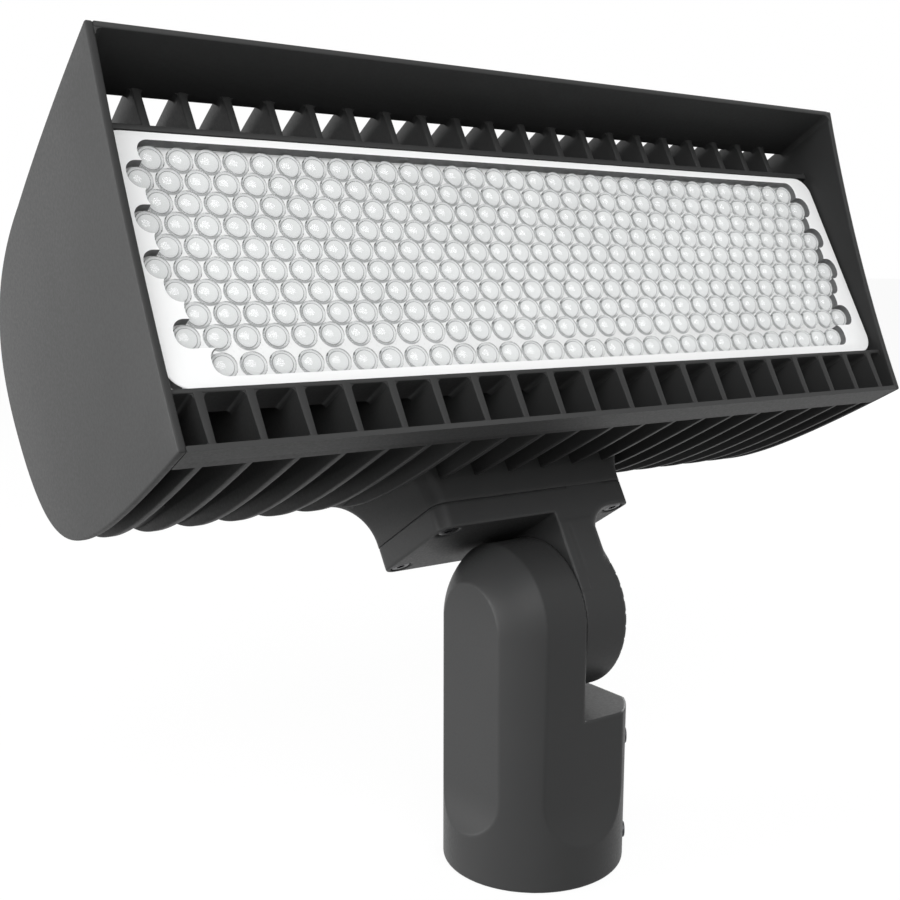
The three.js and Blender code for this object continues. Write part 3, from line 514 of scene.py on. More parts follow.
def bay_points(wall):
    front, rear = BAY_FRONT + wall, BAY_REAR - wall
    floor, roof = BAY_FLOOR + wall, BAY_ROOF - wall
    floor_rear, roof_rear = BAY_FLOOR_REAR + wall, BAY_ROOF_REAR - wall
    turn = front + (rear - front) * BAY_TURN_SHARE
    low = bezier([(front, floor), (turn, floor), (rear, floor_rear)], BAY_STEPS)
    high = bezier([(rear, roof_rear), (turn, roof), (front, roof)], BAY_STEPS)
    return [*low, (rear, floor_rear), *high, (front, roof)]


def inset(points, wall):
    out = []
    n = len(points)
    for i in range(n):
        a, b, c = Vector(points[i - 1]), Vector(points[i]), Vector(points[(i + 1) % n])
        along = ((b - a).normalized() + (c - b).normalized()).normalized()
        out.append((b.x + along.y * wall, b.y - along.x * wall))
    return out


# Front bars, tray and visor
LIP_FRONT, LIP_BACK = -95.9, -79.2
LIP_UNDER, LIP_TOP = 47.5, 51.3
TRAY_FRONT, TRAY_BACK = -81.5, -78.5
BAR_UNDER, BAR_TOP = 68.1, 160.9  # lower edge of the bottom bar, upper edge of the top bar
TOP_BAR_FRONT, TOP_BAR_UNDER = -91.0, 158.7
BOTTOM_BAR_FRONT, BOTTOM_BAR_TOP = -93.0, 69.8
VISOR_BACK, VISOR_UNDER = -83.5, 176.4

# Fins
FIN_EDGE = 0.45
FIN_ROOT = -79.5  # inside the tray
FIN_END = -7.5  # inside the bay's front wall
UPPER_HALF = 1.45
UPPER_X = spread_out(20, margin=19.48)
UPPER_FRONT = -88.0
UPPER_FOOT, UPPER_HEAD = 160.2, 177.6
UPPER_UNDER = 117.2
VISOR_STEP = (-83.4, -83.0)  # where a fin rises to the outline behind the visor
VISOR_SINK = 178.6
UPPER_END = 150.0  # above this a fin follows the back's outline
LOWER_HALF = 1.65
LOWER_X = spread_out(20, margin=8.65)
LOWER_FRONT = -93.0
LOWER_FRONT_CLEAR = 0.5
LOWER_HEAD = 69.0
LOWER_TOP = 111.3
LOWER_END = 100.0  # below this a fin follows the back's outline
LOWER_FOOT_WIDTH, LOWER_WIDTH = 2.3, 3.3
TAPER_RISE = 22.3  # height over which a lower fin reaches its full width


def upper_fin(x):
    pts = [(UPPER_FRONT, UPPER_FOOT), (UPPER_FRONT, UPPER_HEAD), (VISOR_BACK, VISOR_SINK),
           (VISOR_STEP[0], height_at(TOP, VISOR_STEP[0]))]
    pts += [p for p in TOP if p[0] > VISOR_STEP[1]]
    pts += [p for p in UPPER_BACK if p[1] > UPPER_END]
    pts += [(FIN_END, UPPER_END), (FIN_END, UPPER_UNDER), (FIN_ROOT, UPPER_UNDER),
            (FIN_ROOT, UPPER_FOOT)]
    return prism(pts, "x", x - UPPER_HALF, x + UPPER_HALF, FIN_EDGE)


def lower_fin(x):
    pts = [p for p in LOWER_BACK if p[1] < LOWER_END]
    pts += [p for p in KEEL if p[0] > LOWER_FRONT + LOWER_FRONT_CLEAR]
    pts += [(LOWER_FRONT, height_at(KEEL + [LIP], LOWER_FRONT)), (LOWER_FRONT, LOWER_HEAD),
            (FIN_ROOT, LOWER_HEAD), (FIN_ROOT, LOWER_TOP), (FIN_END, LOWER_TOP),
            (FIN_END, LOWER_END)]
    mesh = prism(pts, "x", x - LOWER_HALF, x + LOWER_HALF, FIN_EDGE)
    for v in mesh.vertices:
        share = min(1, max(0, (v.co.z - LIP_UNDER) / TAPER_RISE))
        width = LOWER_FOOT_WIDTH + (LOWER_WIDTH - LOWER_FOOT_WIDTH) * share
        v.co.x = x + (v.co.x - x) * width / LOWER_WIDTH
    return mesh


# Pedestal under the bay: a straight foot, then a flare to both sides
PEDESTAL_LEFT, PEDESTAL_RIGHT = -48.9, 49.8
PEDESTAL_FRONT, PEDESTAL_REAR = -33.4, 20.2
PEDESTAL_CORNER = 6.5
PEDESTAL_CORNER_STEPS = 8
FLARE_START = 46.0
FLARE = 20.0
FLARE_STEPS = 16
STEM_UNDER, STEM_TOP = 60.0, 75.0  # straight core that ties the pedestal to the bay

# Height, growth on each side and corner radius of the rounded lower edge
PEDESTAL_FOOT = [(44.3, -0.2, 6.3), (44.36, -0.06, 6.44), (44.5, 0, PEDESTAL_CORNER),
                 (FLARE_START, 0, PEDESTAL_CORNER)]


def pedestal():
    levels = list(PEDESTAL_FOOT)
    for i in range(1, FLARE_STEPS + 1):
        a = QUARTER * i / FLARE_STEPS
        levels.append((FLARE_START + FLARE * math.sin(a), FLARE * (1 - math.cos(a)),
                       PEDESTAL_CORNER))
    bm = bmesh.new()
    rings = []
    for z, grow, corner in levels:
        shrink = min(grow, 0)
        outline = rounded(PEDESTAL_LEFT - grow, PEDESTAL_RIGHT + grow, PEDESTAL_FRONT - shrink,
                          PEDESTAL_REAR + shrink, corner, PEDESTAL_CORNER_STEPS)
        rings.append([bm.verts.new((x, y, z)) for x, y in outline])
    skin_rings(bm, rings)
    return to_mesh(bm)


# Fillets between fins or side panels and the bars: half width of the fin there, height of the
# bar's face, way up or down from it, radius, front and rear ends
UPPER_WEBS = [
    (UPPER_HALF, BAR_TOP, 1, 1.9, -87.6, -78.7),
    (UPPER_HALF, VISOR_UNDER, -1, 1.5, -87.6, -83.6),
]
LOWER_WEBS = [
    (1.64, BAR_UNDER, -1, 1.5, -92.6, -79.0),
    (1.24, LIP_TOP, 1, 1.3, -92.6, -79.4),
]
PANEL_WEBS = [
    (VISOR_UNDER, -1, 2.2, -112.8, -83.9),
    (BAR_TOP, 1, 1.5, -90.6, -78.8),
    (BAR_UNDER, -1, 1.5, -92.6, -79.0),
    (LIP_TOP, 1, 1.3, -93.0, -79.4),
]


def fillets():
    out = []
    for places, webs in ((UPPER_X, UPPER_WEBS), (LOWER_X, LOWER_WEBS)):
        for x in places:
            for way in (-1, 1):
                for half, z, up, radius, front, rear in webs:
                    out.append(web((x + way * half, z), (way, up), radius, "y", front, rear))
    for way in (-1, 1):
        for z, up, radius, front, rear in PANEL_WEBS:
            out.append(web((way * INNER, z), (-way, up), radius, "y", front, rear))
    return gather(out)


def visor():
    start = place_at(FRONT + [TIP], VISOR_UNDER)
    points = [TIP] + [p for p in TOP[1:] if p[0] < VISOR_BACK]
    points += [(VISOR_BACK, height_at(TOP, VISOR_BACK)), (VISOR_BACK, VISOR_UNDER)]
    points += [(start, VISOR_UNDER)] + [p for p in FRONT if p[1] > VISOR_UNDER]
    return prism(points, "x", -JOINED, JOINED, edge=0.5)


# Screw holes, in the casting's own frame
FLANGE_SCREW_X, FLANGE_SCREW_Y = (-42.4, 43.3), (-26.9, 13.7)
FLANGE_HOLE = 2.5
FLANGE_HOLE_LOW, FLANGE_HOLE_HIGH = 43.0, 58.0
COVER_SCREW_X, COVER_SCREW_Z = 125.8, (95.2, 143.8)
COVER_HOLE = 2.3
COVER_LOW, COVER_HIGH = 36.7, 51.2  # y range of the cover's opening and of its screw holes
COVER_SEAT = (-130.3, 130.3, 41.7, BAY_REAR, 90.7, 148.3)
COVER_OPENING = (-121.5, 121.5, COVER_LOW, COVER_HIGH, 99.5, 139.5)
WIRE_WINDOW = (-38.4, 39.3, -22.9, 9.7)
WIRE_WINDOW_LOW, WIRE_WINDOW_HIGH = 43.0, 72.0


def cover_holes():
    return [rod(COVER_HOLE, "y", COVER_LOW, COVER_HIGH, (way * COVER_SCREW_X, z))
            for way in (-1, 0, 1) for z in COVER_SCREW_Z]


def flange_holes(low, high):
    return [rod(FLANGE_HOLE, "z", low, high, (x, y))
            for x in FLANGE_SCREW_X for y in FLANGE_SCREW_Y]


# Main casting with its side panels and visor
def casting():
    core = prism(OUTLINE, "x", -JOINED, JOINED)
    bay = prism(bay_points(0), "x", -JOINED, JOINED)
    lip = block(-JOINED, JOINED, LIP_FRONT, LIP_BACK, LIP_UNDER, LIP_TOP, edge=0.6)
    skin = combined(gather([bay, lip]), [core], "INTERSECT")
    panels = gather([prism(OUTLINE, "x", low, high, edge=0.75, steps=3)
                     for low, high in ((-HALF, -INNER), (INNER, HALF))])
    bars = [
        block(-JOINED, JOINED, TRAY_FRONT, TRAY_BACK, BAR_UNDER, BAR_TOP, edge=0.4),
        block(-JOINED, JOINED, TOP_BAR_FRONT, TRAY_BACK, TOP_BAR_UNDER, BAR_TOP, edge=0.5),
        block(-JOINED, JOINED, BOTTOM_BAR_FRONT, TRAY_BACK, BAR_UNDER, BOTTOM_BAR_TOP, edge=0.5),
    ]
    stem = block(PEDESTAL_LEFT, PEDESTAL_RIGHT, PEDESTAL_FRONT, PEDESTAL_REAR,
                 STEM_UNDER, STEM_TOP)
    fins = gather([upper_fin(x) for x in UPPER_X] + [lower_fin(x) for x in LOWER_X])
    whole = combined(skin, [fins, *bars, visor(), panels, fillets(), pedestal(), stem])

    room = combined(prism(bay_points(BAY_WALL), "x", -INNER + BAY_WALL, INNER - BAY_WALL), [
        prism(inset(OUTLINE, BAY_WALL), "x", -INNER, INNER),
        block(-INNER, INNER, BAY_FRONT, BAY_BACK, 0, ABOVE_ALL),
    ], "INTERSECT")
    cuts = [
        block(*WIRE_WINDOW, WIRE_WINDOW_LOW, WIRE_WINDOW_HIGH),
        block(*COVER_SEAT),
        block(*COVER_OPENING),
    ]
    holes = gather(cover_holes() + flange_holes(FLANGE_HOLE_LOW, FLANGE_HOLE_HIGH))
    return combined(whole, [room, *cuts, holes], "DIFFERENCE")


piece("floodlight_casting", casting(), CAST, "lamp_head", [charcoal],
      ("heatsink_housing", "side_panel_left", "side_panel_right", "visor"), angle=45)


# Knuckle: its two halves lap each other across a small gap
LAP = 0.25
KNUCKLE_RADIUS = 33.4
DISC_THICKNESS = 23.5
DISC_CHAMFER = 54.5  # reach and x together on the disc's chamfer
NECK_SIDE, NECK_REAR, NECK_TOP = 22.3, 18.0, 40.0
NECK_FLARE, NECK_FOOT = 10.0, 2.0  # how the neck runs out into the flange, at its side and inside
NECK_FLARE_FROM = 11.0
FRONT_SHARP, FRONT_ROUND = 0.8, 7.2  # front edge: at the flange, and what the neck adds to it
FRONT_ROUND_FROM, FRONT_ROUND_RUN = 35.0, 9.0
FRONT_ROUND_INNER = 5.0
FLANGE_UNDER, FLANGE_TOP = 33.9, 44.2
FLANGE_OUTLINE_FROM = 30.0
OUT_OF_REACH = -99.0
BOLT_POCKET, BOLT_POCKET_FLOOR = 11.5, 12.5
BOLT_BORE = 5.4
WIRE_RING_INNER, WIRE_RING_OUTER = 10.0, 22.0
WIRE_RING_DEPTH = 8.3
WIRE_BORE, WIRE_BORE_FROM = 6.0, 16.0
SCREW_SEAT, SCREW_SEAT_TOP = 4.4, 37.7
NOTCHES = 9
NOTCH_PITCH, NOTCH_MIDDLE = 10.0, 22.5  # degrees round the disc's rim
NOTCH_HALF, NOTCH_FLOOR, NOTCH_FROM = 0.55, 31.0, 21.2
ARM_BOX = ((-58, -36, -36), (46, 23, 46))

FLANGE_X = (PEDESTAL_LEFT + PEDESTAL_RIGHT) / 2 + OFFSET
FLANGE_Y = (PEDESTAL_FRONT + PEDESTAL_REAR) / 2
FLANGE_HALF_X = (PEDESTAL_RIGHT - PEDESTAL_LEFT) / 2 - PEDESTAL_CORNER
FLANGE_HALF_Y = (PEDESTAL_REAR - PEDESTAL_FRONT) / 2 - PEDESTAL_CORNER
HEAD_SCREWS = [(x + OFFSET, y) for y in FLANGE_SCREW_Y for x in FLANGE_SCREW_X]


# Ring-shaped way for the wires round the bolt, in the face where the halves meet
def wire_ring(reach, depth):
    ring = both(reach - WIRE_RING_OUTER, WIRE_RING_INNER - reach, soft=0.3)
    return both(ring, depth, soft=0.3)


def flange_outline(x, y):
    px, py = abs(x - FLANGE_X) - FLANGE_HALF_X, abs(y - FLANGE_Y) - FLANGE_HALF_Y
    outside = np.hypot(np.maximum(px, 0), np.maximum(py, 0))
    return px, outside + np.minimum(np.maximum(px, py), 0) - PEDESTAL_CORNER


# Disc, neck and flange with soft cast edges
def arm_field(x, y, z):
    reach = np.hypot(y, z)
    disc = both(reach - KNUCKLE_RADIUS, (reach + x - DISC_CHAMFER) / math.sqrt(2), soft=0.6)
    disc = both(both(disc, x - DISC_THICKNESS, soft=0.8), LAP - x, soft=0.3)
    neck = both(x - NECK_SIDE, y - NECK_REAR, soft=8.0)
    neck = both(neck, slab(z, 0, NECK_TOP), soft=0.5)
    neck = np.maximum(neck, LAP - x)
    sides, plate = flange_outline(x, y)
    open_front = np.where(y < FLANGE_Y, sides - PEDESTAL_CORNER, plate)
    level = both(both(open_front, FLANGE_UNDER - z, soft=1.2), z - FLANGE_TOP, soft=0.4)
    joined = either(neck, level, soft=np.where(x > NECK_FLARE_FROM, NECK_FLARE, NECK_FOOT))
    lowered = np.clip((FRONT_ROUND_FROM - z) / FRONT_ROUND_RUN, 0, 1) * (x > FRONT_ROUND_INNER)
    joined = both(joined, PEDESTAL_FRONT - y, soft=FRONT_SHARP + FRONT_ROUND * lowered)
    joined = both(joined, np.where(z > FLANGE_OUTLINE_FROM, plate, OUT_OF_REACH), soft=0.6)
    solid = either(disc, joined, soft=1.5)
    solid = without(solid, both(x - LAP, z - FLANGE_UNDER, soft=0.1), soft=0.3)
    pocket = both(reach - BOLT_POCKET, BOLT_POCKET_FLOOR - x, soft=0.5)
    solid = without(solid, pocket, soft=1.0)
    ring = wire_ring(reach, x - WIRE_RING_DEPTH)
    bore = reach - BOLT_BORE
    wire = both(np.hypot(x - WIRE_RING_DEPTH, y) - WIRE_BORE, WIRE_BORE_FROM - z, soft=0.3)
    solid = np.maximum(np.maximum(solid, -ring), np.maximum(-bore, -wire))
    for sx, sy in HEAD_SCREWS:
        away = np.hypot(x - sx, y - sy)
        seat = both(away - SCREW_SEAT, z - SCREW_SEAT_TOP, soft=0.3)
        solid = without(solid, seat, soft=0.7)
        solid = np.maximum(solid, FLANGE_HOLE - away)
    for i in range(NOTCHES):
        a = math.radians((i - (NOTCHES - 1) / 2) * NOTCH_PITCH + NOTCH_MIDDLE)
        out = -y * math.cos(a) - z * math.sin(a)
        side = y * math.sin(a) - z * math.cos(a)
        notch = np.maximum(abs(side) - NOTCH_HALF, np.maximum(NOTCH_FLOOR - out, NOTCH_FROM - x))
        solid = np.maximum(solid, -notch)
    return solid


piece("knuckle_casting", sculpt(arm_field, *ARM_BOX, step=0.8), HEAD,
      "lamp_head", [post_coat], ("knuckle_arm",), angle=0)


# Slip fitter: socket below, flats that run out above the rim, round end at the pivot
RIM_RADIUS = 40.0
BODY_TAPER = 0.0073
BALL_RADIUS = 39.2
SIDE_FLAT = 34.4
FLAT_RUN_HEIGHT, FLAT_RUN_RADIUS = 40.0, 38.0  # below this height the flats curve out of the body
FITTER_EDGE = 0.25
LEDGE = 71.4
SOCKET_RADIUS, SOCKET_DEPTH = 30.85, 60.0
INNER_SIDE = -8.0  # middle of the wire's way and depth of its ring
BOLT_BORE_END = -26.0
FITTER_BOX = ((-42, -42, -2), (42, 42, 146))
SET_SCREW_HEIGHTS = (10, 55)
SET_SCREW_TURN = 35  # degrees from the x axis
SET_SCREW_HOLE, SET_SCREW_HOLE_FROM = 4.05, 20.0


def fitter_field(x, y, z):
    rho = np.hypot(x, y)
    above = z - PIVOT
    reach = np.hypot(y, above)
    body = rho - (RIM_RADIUS - BODY_TAPER * z)
    ball = np.sqrt(x * x + y * y + above ** 2) - BALL_RADIUS
    high = z > PIVOT
    out = np.where(high, ball, body)
    fall = np.maximum(FLAT_RUN_RADIUS ** 2 - (FLAT_RUN_HEIGHT - z) ** 2, 0)
    run = np.where(z < FLAT_RUN_HEIGHT, FLAT_RUN_RADIUS - np.sqrt(fall), 0)
    flat = np.where(high, reach - KNUCKLE_RADIUS, abs(y) - KNUCKLE_RADIUS - run)
    out = both(out, flat, soft=FITTER_EDGE)
    out = both(out, abs(x) - SIDE_FLAT - run, soft=FITTER_EDGE)
    out = both(out, -z, soft=1.6)
    out = without(out, both(-x, LEDGE - z, soft=1.0), soft=FITTER_EDGE)
    out = without(out, both(rho - SOCKET_RADIUS, z - SOCKET_DEPTH, soft=1.0), soft=1.2)
    ring = wire_ring(reach, INNER_SIDE - x)
    bore = both(reach - BOLT_BORE, BOLT_BORE_END - x, soft=0.3)
    wire = both(np.hypot(x - INNER_SIDE, y) - WIRE_BORE, above + WIRE_BORE_FROM, soft=0.3)
    out = np.maximum(np.maximum(out, -ring), np.maximum(-bore, -wire))
    for way in (-1, 1):
        for height in SET_SCREW_HEIGHTS:
            a = math.radians(SET_SCREW_TURN * way)
            along = x * math.cos(a) + y * math.sin(a)
            side = np.hypot(y * math.cos(a) - x * math.sin(a), z - height)
            hole = both(side - SET_SCREW_HOLE, SET_SCREW_HOLE_FROM - along, soft=0.2)
            out = without(out, hole, soft=0.5)
    return out


piece("slip_fitter_casting", sculpt(fitter_field, *FITTER_BOX, step=0.85), POST,
      "post_fitter", [post_coat], ("slip_fitter",), angle=0)

# Flange screws with a hexagon socket
SCREW_HEAD, SCREW_HEAD_HEIGHT = 4.0, 3.2
SCREW_SHANK, SCREW_TOP = 2.1, 56.0
SCREW_KEY = 3.2 / math.sqrt(3)
SCREW_KEY_DEPTH = 1.9
SCREW_SEAT_UNDER = 37.4
SCREW_EDGE = ((0.6, 0.0), (0.15, 0.2), (0.0, 0.6))  # inward and back from the head's corner
KEY_OVERRUN = 1.0


def socket_screw(x, y):
    face, seat = SCREW_SEAT_UNDER - SCREW_HEAD_HEIGHT, SCREW_SEAT_UNDER
    edge = [(SCREW_HEAD - inward, face + back) for inward, back in SCREW_EDGE]
    profile = [(0, face), *edge, (SCREW_HEAD, seat), (SCREW_SHANK, seat),
               (SCREW_SHANK, SCREW_TOP), (0, SCREW_TOP)]
    body = turned(profile, "z", (x, y), steps=36)
    key = prism(hexagon(SCREW_KEY, x, y), "z", face - KEY_OVERRUN, face + SCREW_KEY_DEPTH)
    return combined(body, [key], "DIFFERENCE")


for i, (x, y) in enumerate(HEAD_SCREWS):
    piece(f"flange_socket_screw_{i + 1}", socket_screw(x, y), HEAD, "lamp_head",
          [black_steel], (f"flange_screw_{i + 1}",), angle=35)

# Set screws
SET_SCREW_RADIUS, SET_SCREW_TIP = 3.65, 31.2
SET_SCREW_KEY, SET_SCREW_KEY_DEPTH = 2.31, 2.5
SET_SCREW_TAPER = 0.0145
POINT_INWARD, SET_SCREW_CHAMFER = 0.35, 0.4
SET_SCREW_OUT = 1.0  # how far it stands out of the fitter


def set_screw(height):
    end = RIM_RADIUS - SET_SCREW_TAPER * height + SET_SCREW_OUT
    profile = [(0, SET_SCREW_TIP), (SET_SCREW_RADIUS - POINT_INWARD, SET_SCREW_TIP),
               (SET_SCREW_RADIUS, SET_SCREW_TIP + SET_SCREW_CHAMFER),
               (SET_SCREW_RADIUS, end - SET_SCREW_CHAMFER),
               (SET_SCREW_RADIUS - SET_SCREW_CHAMFER, end), (0, end)]
    body = turned(profile, "x", (0, 0), steps=32)
    key = prism(hexagon(SET_SCREW_KEY), "x", end - SET_SCREW_KEY_DEPTH, end + KEY_OVERRUN)
    return combined(body, [key], "DIFFERENCE")


SET_SCREWS = [(way, height) for way in (-1, 1) for height in SET_SCREW_HEIGHTS]
for i, (way, height) in enumerate(SET_SCREWS):
    turn = Matrix.Rotation(math.radians(SET_SCREW_TURN * way), 4, "Z")
    piece(f"socket_set_screw_{i + 1}", set_screw(height),
          POST @ Matrix.Translation((0, 0, height)) @ turn, "post_fitter",
          [black_steel], (f"set_screw_{i + 1}",), angle=35)

# Rows of lens domes: height, and where each dome stands
COUNTS = [32, 33, 32, 33, 32, 33, 32, 31, 32, 30]
FRAME_HALF = 166.3
FRAME_UNDER, FRAME_TOP = 70.1, 158.4
END_MARGIN = 11.74
PITCH = 2 * (FRAME_HALF - END_MARGIN) / (max(COUNTS) - 1)
SPREAD_SHARE = 0.00435  # each row is spread a little wider than the one above
FIRST_ROW = 150.7
ROW_PITCH, LAST_ROW_GAP = 7.79, 9.6
ROWS = []
for row, count in enumerate(COUNTS):
    down = ROW_PITCH * row
    if row == len(COUNTS) - 1:
        down = ROW_PITCH * (row - 1) + LAST_ROW_GAP
    pitch = PITCH * (1 + row * SPREAD_SHARE)
    ROWS.append((FIRST_ROW - down, [(i - (count - 1) / 2) * pitch for i in range(count)]))

# White frame with a scalloped opening
FRAME_FRONT, FRAME_BACK = -91.0, -87.4
FRAME_CORNER, SCALLOP_CORNER = 8.0, 4.3
CORNER_STEPS = 10
SCALLOP = 4.95  # from the last dome's middle to the opening's edge
FIRST_ROW_SCALLOP = 4.75
OPENING_FRONT, OPENING_BACK = -93.0, -84.0


def reflector():
    outer = prism(rounded(-FRAME_HALF, FRAME_HALF, FRAME_UNDER, FRAME_TOP, FRAME_CORNER,
                          CORNER_STEPS), "y", FRAME_FRONT, FRAME_BACK, edge=0.5, steps=3, sharp=50)
    cuts = []
    for (z, xs), below in zip(ROWS, ROWS[1:] + [None]):
        end = xs[-1]
        top = z + (SCALLOP if z < FIRST_ROW else FIRST_ROW_SCALLOP)
        cuts.append(prism(rounded(-end - SCALLOP, end + SCALLOP, z - SCALLOP, top, SCALLOP_CORNER,
                                  CORNER_STEPS), "y", OPENING_FRONT, OPENING_BACK))
        if below:
            shared = min(end, below[1][-1])
            cuts.append(block(-shared, shared, OPENING_FRONT, OPENING_BACK, below[0], z))
    opening = combined(cuts[0], cuts[1:])
    return combined(outer, [opening], "DIFFERENCE")


# The walls of the opening take a dark grey, painted shade for the shadow inside the opening; they
# are the faces that look sideways inside the margin
WALL_TURN = 0.3
RIM_MARGIN = 0.8
frame_mesh = reflector()
piece("white_reflector_frame", frame_mesh, Matrix(), "lamp_head",
      [white, painted_shade_wall_grey], ("reflector_frame",), angle=40)
for face in frame_mesh.polygons:
    x, y, z = face.center
    within = (abs(x) < FRAME_HALF - RIM_MARGIN
              and FRAME_UNDER + RIM_MARGIN < z < FRAME_TOP - RIM_MARGIN)
    if abs(face.normal.y) < WALL_TURN and within:
        face.material_index = 1
frame_mesh.transform(CAST)

# Lens plate: radius and depth down a dome's stepped wall, its round cap, and rings in its base
DOME_SEAT = -87.35
DOME_SIDES = 24
DOME_WALL = [(4.52, 0.0), (4.52, -0.45), (4.34, -0.5), (4.34, -0.85), (4.2, -0.9), (4.2, -1.2)]
CAP_RADIUS, CAP_RISE, CAP_STEPS = 4.16, 2.1, 7
BASE_RINGS = [3.7, 3.45, 2.85, 2.65]
PAINTED_SPOT_SIDES = (9, 22)  # sides of the base ring that take painted dark spots, standing for the dark refraction seen in the domes
PLATE_FRONT, PLATE_BACK = -87.32, -83.7

# Places in the lens plate's list of materials
CLEAR, PLATE, WALL, BASE, RING, PAINTED_SPOT = range(6)


def dome_profile():
    out = list(DOME_WALL)
    foot = DOME_WALL[-1][1]
    for k in range(1, CAP_STEPS):
        a = QUARTER * k / CAP_STEPS
        out.append((CAP_RADIUS * math.cos(a), foot - CAP_RISE * math.sin(a)))
    return out


def ring_points(x, z, radius, along):
    return [(x + radius * math.cos(a), DOME_SEAT + along, z + radius * math.sin(a))
            for a in circle(DOME_SIDES)]


# Quads between two rings of points, from the first index of each
def ring_faces(first, second):
    out = []
    for i in range(DOME_SIDES):
        j = (i + 1) % DOME_SIDES
        out.append((first + i, first + j, second + j, second + i))
    return out


# The lens plate and the material of each of its faces
def optic():
    profile = dome_profile()
    tip = DOME_WALL[-1][1] - CAP_RISE
    verts, faces = [], []
    for z, xs in ROWS:
        for x in xs:
            base = len(verts)
            for radius, along in profile:
                verts += ring_points(x, z, radius, along)
            verts.append((x, DOME_SEAT + tip, z))
            starts = [base + DOME_SIDES * k for k in range(len(profile))]
            for low, high in zip(starts, starts[1:]):
                faces += ring_faces(low, high)
            last, top = starts[-1], starts[-1] + DOME_SIDES
            faces += [(last + i, last + (i + 1) % DOME_SIDES, top) for i in range(DOME_SIDES)]
            inner = len(verts)
            for radius in BASE_RINGS:
                verts += ring_points(x, z, radius, 0)
            starts = [base] + [inner + DOME_SIDES * k for k in range(len(BASE_RINGS))]
            for outer, within in zip(starts, starts[1:]):
                faces += ring_faces(outer, within)
            faces.append(tuple(starts[-1] + i for i in range(DOME_SIDES)))
    domes = bpy.data.meshes.new("domes")
    domes.from_pydata(verts, [], faces)
    plate = block(-FRAME_HALF, FRAME_HALF, PLATE_FRONT, PLATE_BACK, FRAME_UNDER, FRAME_TOP,
                  edge=0.2)
    # The stepped walls of each dome take the darker glass of painted shade
    walls = len(DOME_WALL) - 1
    kinds = [WALL] * DOME_SIDES * walls + [CLEAR] * DOME_SIDES * (len(profile) - walls)
    # Two sides of each base ring take the painted dark spots, the rest the grey base
    kinds += [PAINTED_SPOT if i in PAINTED_SPOT_SIDES else BASE for i in range(DOME_SIDES)]
    for kind in (RING, BASE, RING):
        kinds += [kind] * DOME_SIDES
    kinds.append(BASE)
    kinds = kinds * (len(faces) // len(kinds))
    whole = gather([domes, plate])
    return whole, kinds + [PLATE] * (len(whole.polygons) - len(kinds))


optic_mesh, kinds = optic()
made = piece("lens_plate", optic_mesh, CAST, "lamp_head",
             [lens, plate_white, lens_edge_painted_shade, dome_base, dome_ring, dome_painted_spot],
             ("optic_array",), angle=50)
made.visible_shadow = False
optic_mesh.polygons.foreach_set("material_index", kinds)

# Gasket between the flange and the casting
SEAL_UNDER, SEAL_TOP = 44.21, 44.29
SEAL_MARGIN = 0.4
SEAL_CORNER = 6.2
SEAL_CUT_LOW, SEAL_CUT_HIGH = 43.0, 45.0


def flange_seal():
    outer = prism(rounded(PEDESTAL_LEFT + SEAL_MARGIN, PEDESTAL_RIGHT - SEAL_MARGIN,
                          PEDESTAL_FRONT + SEAL_MARGIN, PEDESTAL_REAR - SEAL_MARGIN,
                          SEAL_CORNER, PEDESTAL_CORNER_STEPS), "z", SEAL_UNDER, SEAL_TOP)
    cuts = [block(*WIRE_WINDOW, SEAL_CUT_LOW, SEAL_CUT_HIGH)]
    cuts += flange_holes(SEAL_CUT_LOW, SEAL_CUT_HIGH)
    return combined(outer, [gather(cuts)], "DIFFERENCE")


piece("thin_flange_gasket", flange_seal(), CAST, "lamp_head", [rubber],
      ("flange_gasket",), angle=40)

# Better finish on the pieces that keep their shape
FINISH = {
    "pivot_washer": bright_steel, "pivot_lock_washer": bright_steel, "pivot_bolt": bright_steel,
    "lens_gasket": rubber, "rear_cover_gasket": rubber,
    "led_board_left": board, "led_board_right": board, "rear_cover": charcoal,
    "driver_bracket": bright_steel, "led_driver": case, "terminal_block": terminal,
    **{f"rear_cover_screw_{i}": black_steel for i in range(1, 7)},
    **{f"driver_screw_{i}": bright_steel for i in (1, 2)},
}
for name, finish in FINISH.items():
    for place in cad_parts[name].material_slots:
        place.material = finish


# Nodes of a material or of the surroundings
def fresh(tree, output):
    tree.nodes.clear()
    return tree.nodes.new(output)


# One where a ray comes from the camera, a reflection or through glass
def seen(tree):
    path = tree.nodes.new("ShaderNodeLightPath")
    last = path.outputs["Is Camera Ray"]
    for way in ("Is Glossy Ray", "Is Transmission Ray"):
        either_ray = tree.nodes.new("ShaderNodeMath")
        either_ray.operation = "MAXIMUM"
        tree.links.new(last, either_ray.inputs[0])
        tree.links.new(path.outputs[way], either_ray.inputs[1])
        last = either_ray.outputs[0]
    return last


# The first shader lights the object, the second is what is seen
def split(tree, out, lighting, shown):
    mix = tree.nodes.new("ShaderNodeMixShader")
    tree.links.new(seen(tree), mix.inputs["Fac"])
    tree.links.new(lighting, mix.inputs[1])
    tree.links.new(shown, mix.inputs[2])
    tree.links.new(mix.outputs["Shader"], out.inputs["Surface"])


def matt(tree, level):
    made = tree.nodes.new("ShaderNodeBsdfDiffuse")
    made.inputs["Color"].default_value = (level, level, level, 1)
    return made.outputs["BSDF"]


def glowing(tree, kind, strength):
    made = tree.nodes.new(kind)
    made.inputs["Color"].default_value = (1, 1, 1, 1)
    made.inputs["Strength"].default_value = strength
    return made.outputs[0]


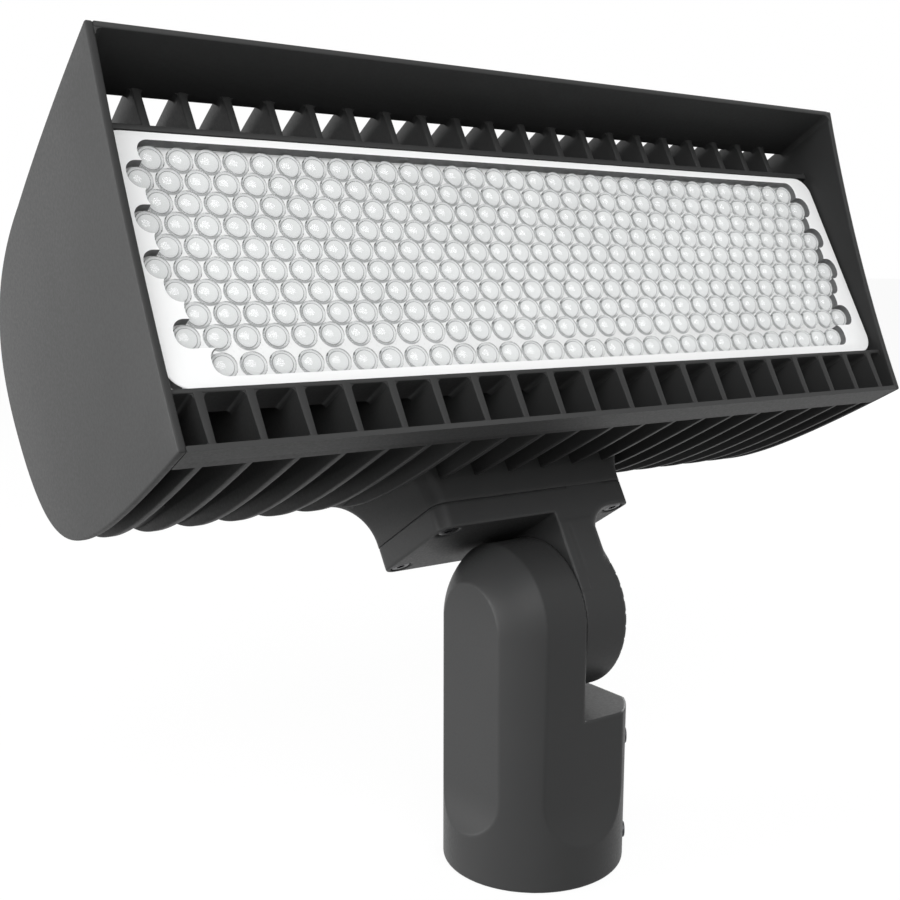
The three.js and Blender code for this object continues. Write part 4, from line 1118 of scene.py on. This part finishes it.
# Floor: pale where it is seen, dark for the light that it gives back
FLOOR_HALF, FLOOR_DROP = 40, 0.0005  # metres
FLOOR_LIGHTING, FLOOR_SHOWN = 0.3, 0.86
FLOOR_GLOW = 1.02
SHADOW_SHARE = 0.08  # of the seen floor that takes light, and so the shadow
ground = bpy.data.meshes.new("ground")
ground.from_pydata([(x * FLOOR_HALF, y * FLOOR_HALF, -FLOOR_DROP)
                    for x, y in ((-1, -1), (1, -1), (1, 1), (-1, 1))], [], [(0, 1, 2, 3)])
floor = bpy.data.objects.new("floor", ground)
add(floor)
pale = bpy.data.materials.new("pale_floor")
pale.use_nodes = True
tree = pale.node_tree
out = fresh(tree, "ShaderNodeOutputMaterial")
shown = tree.nodes.new("ShaderNodeMixShader")
shown.inputs["Fac"].default_value = SHADOW_SHARE
tree.links.new(glowing(tree, "ShaderNodeEmission", FLOOR_GLOW), shown.inputs[1])
tree.links.new(matt(tree, FLOOR_SHOWN), shown.inputs[2])
split(tree, out, matt(tree, FLOOR_LIGHTING), shown.outputs["Shader"])
ground.materials.append(pale)

# Surrounding light
SURROUNDINGS_LIGHTING, SURROUNDINGS_SHOWN = 0.25, 1.0
world = bpy.data.worlds.new("studio")
bpy.context.scene.world = world
world.use_nodes = True
tree = world.node_tree
out = fresh(tree, "ShaderNodeOutputWorld")
split(tree, out, glowing(tree, "ShaderNodeBackground", SURROUNDINGS_LIGHTING),
      glowing(tree, "ShaderNodeBackground", SURROUNDINGS_SHOWN))

# Lamps, in metres
LAMP_DISTANCE = 2.4
LAMP_AIM = Vector((0, 0, 0.15))


# The level is the lamp's light on the object, as a share of full white
def area(name, toward, level, size):
    data = bpy.data.lights.new(name, "AREA")
    data.shape = "DISK"
    data.size = size
    data.energy = (math.pi * LAMP_DISTANCE) ** 2 * level
    made = bpy.data.objects.new(name, data)
    add(made)
    way = Vector(toward).normalized()
    made.location = way * LAMP_DISTANCE + LAMP_AIM
    made.rotation_mode = "QUATERNION"
    made.rotation_quaternion = way.to_track_quat("Z", "Y")


area("key", (-0.88, 0.3, 0.06), level=1.5, size=1.3)
area("front", (-0.25, -0.8, 0.72), level=0.72, size=2.0)
area("side", (-0.72, -0.51, 0.47), level=0.3, size=1.3)
area("fill", (0.8, 0.4, 0.3), level=0.5, size=1.3)

# Camera at the photograph's angle; pixels are those of the 900 pixel picture
PICTURE = 900
FOCAL = 1200.126
CENTRE = (490, 600)  # pixel that the camera looks at
YAW, DIP, ROLL = math.radians(36.775), math.radians(15.368), math.radians(0.244)
STANDPOINT = (-0.3092, -0.381133, 0.251122)
SENSOR = 36
NEAREST, FARTHEST = 0.01, 50
ahead = Vector((math.sin(YAW) * math.cos(DIP), math.cos(YAW) * math.cos(DIP), -math.sin(DIP)))
right = Vector((math.cos(YAW), -math.sin(YAW), 0))
up = right.cross(ahead)
rolled_right = right * math.cos(ROLL) + up * math.sin(ROLL)
rolled_up = up * math.cos(ROLL) - right * math.sin(ROLL)
camera_data = bpy.data.cameras.new("camera")
camera_data.sensor_width = SENSOR
camera_data.lens = FOCAL / PICTURE * SENSOR
camera_data.shift_x = 0.5 - CENTRE[0] / PICTURE
camera_data.shift_y = CENTRE[1] / PICTURE - 0.5
camera_data.clip_start, camera_data.clip_end = NEAREST, FARTHEST
camera = bpy.data.objects.new("camera", camera_data)
add(camera)
basis = Matrix((rolled_right, rolled_up, -ahead)).transposed().to_4x4()
camera.matrix_world = Matrix.Translation(STANDPOINT) @ basis
bpy.context.scene.camera = camera

bpy.context.scene.view_settings.view_transform = "Standard"
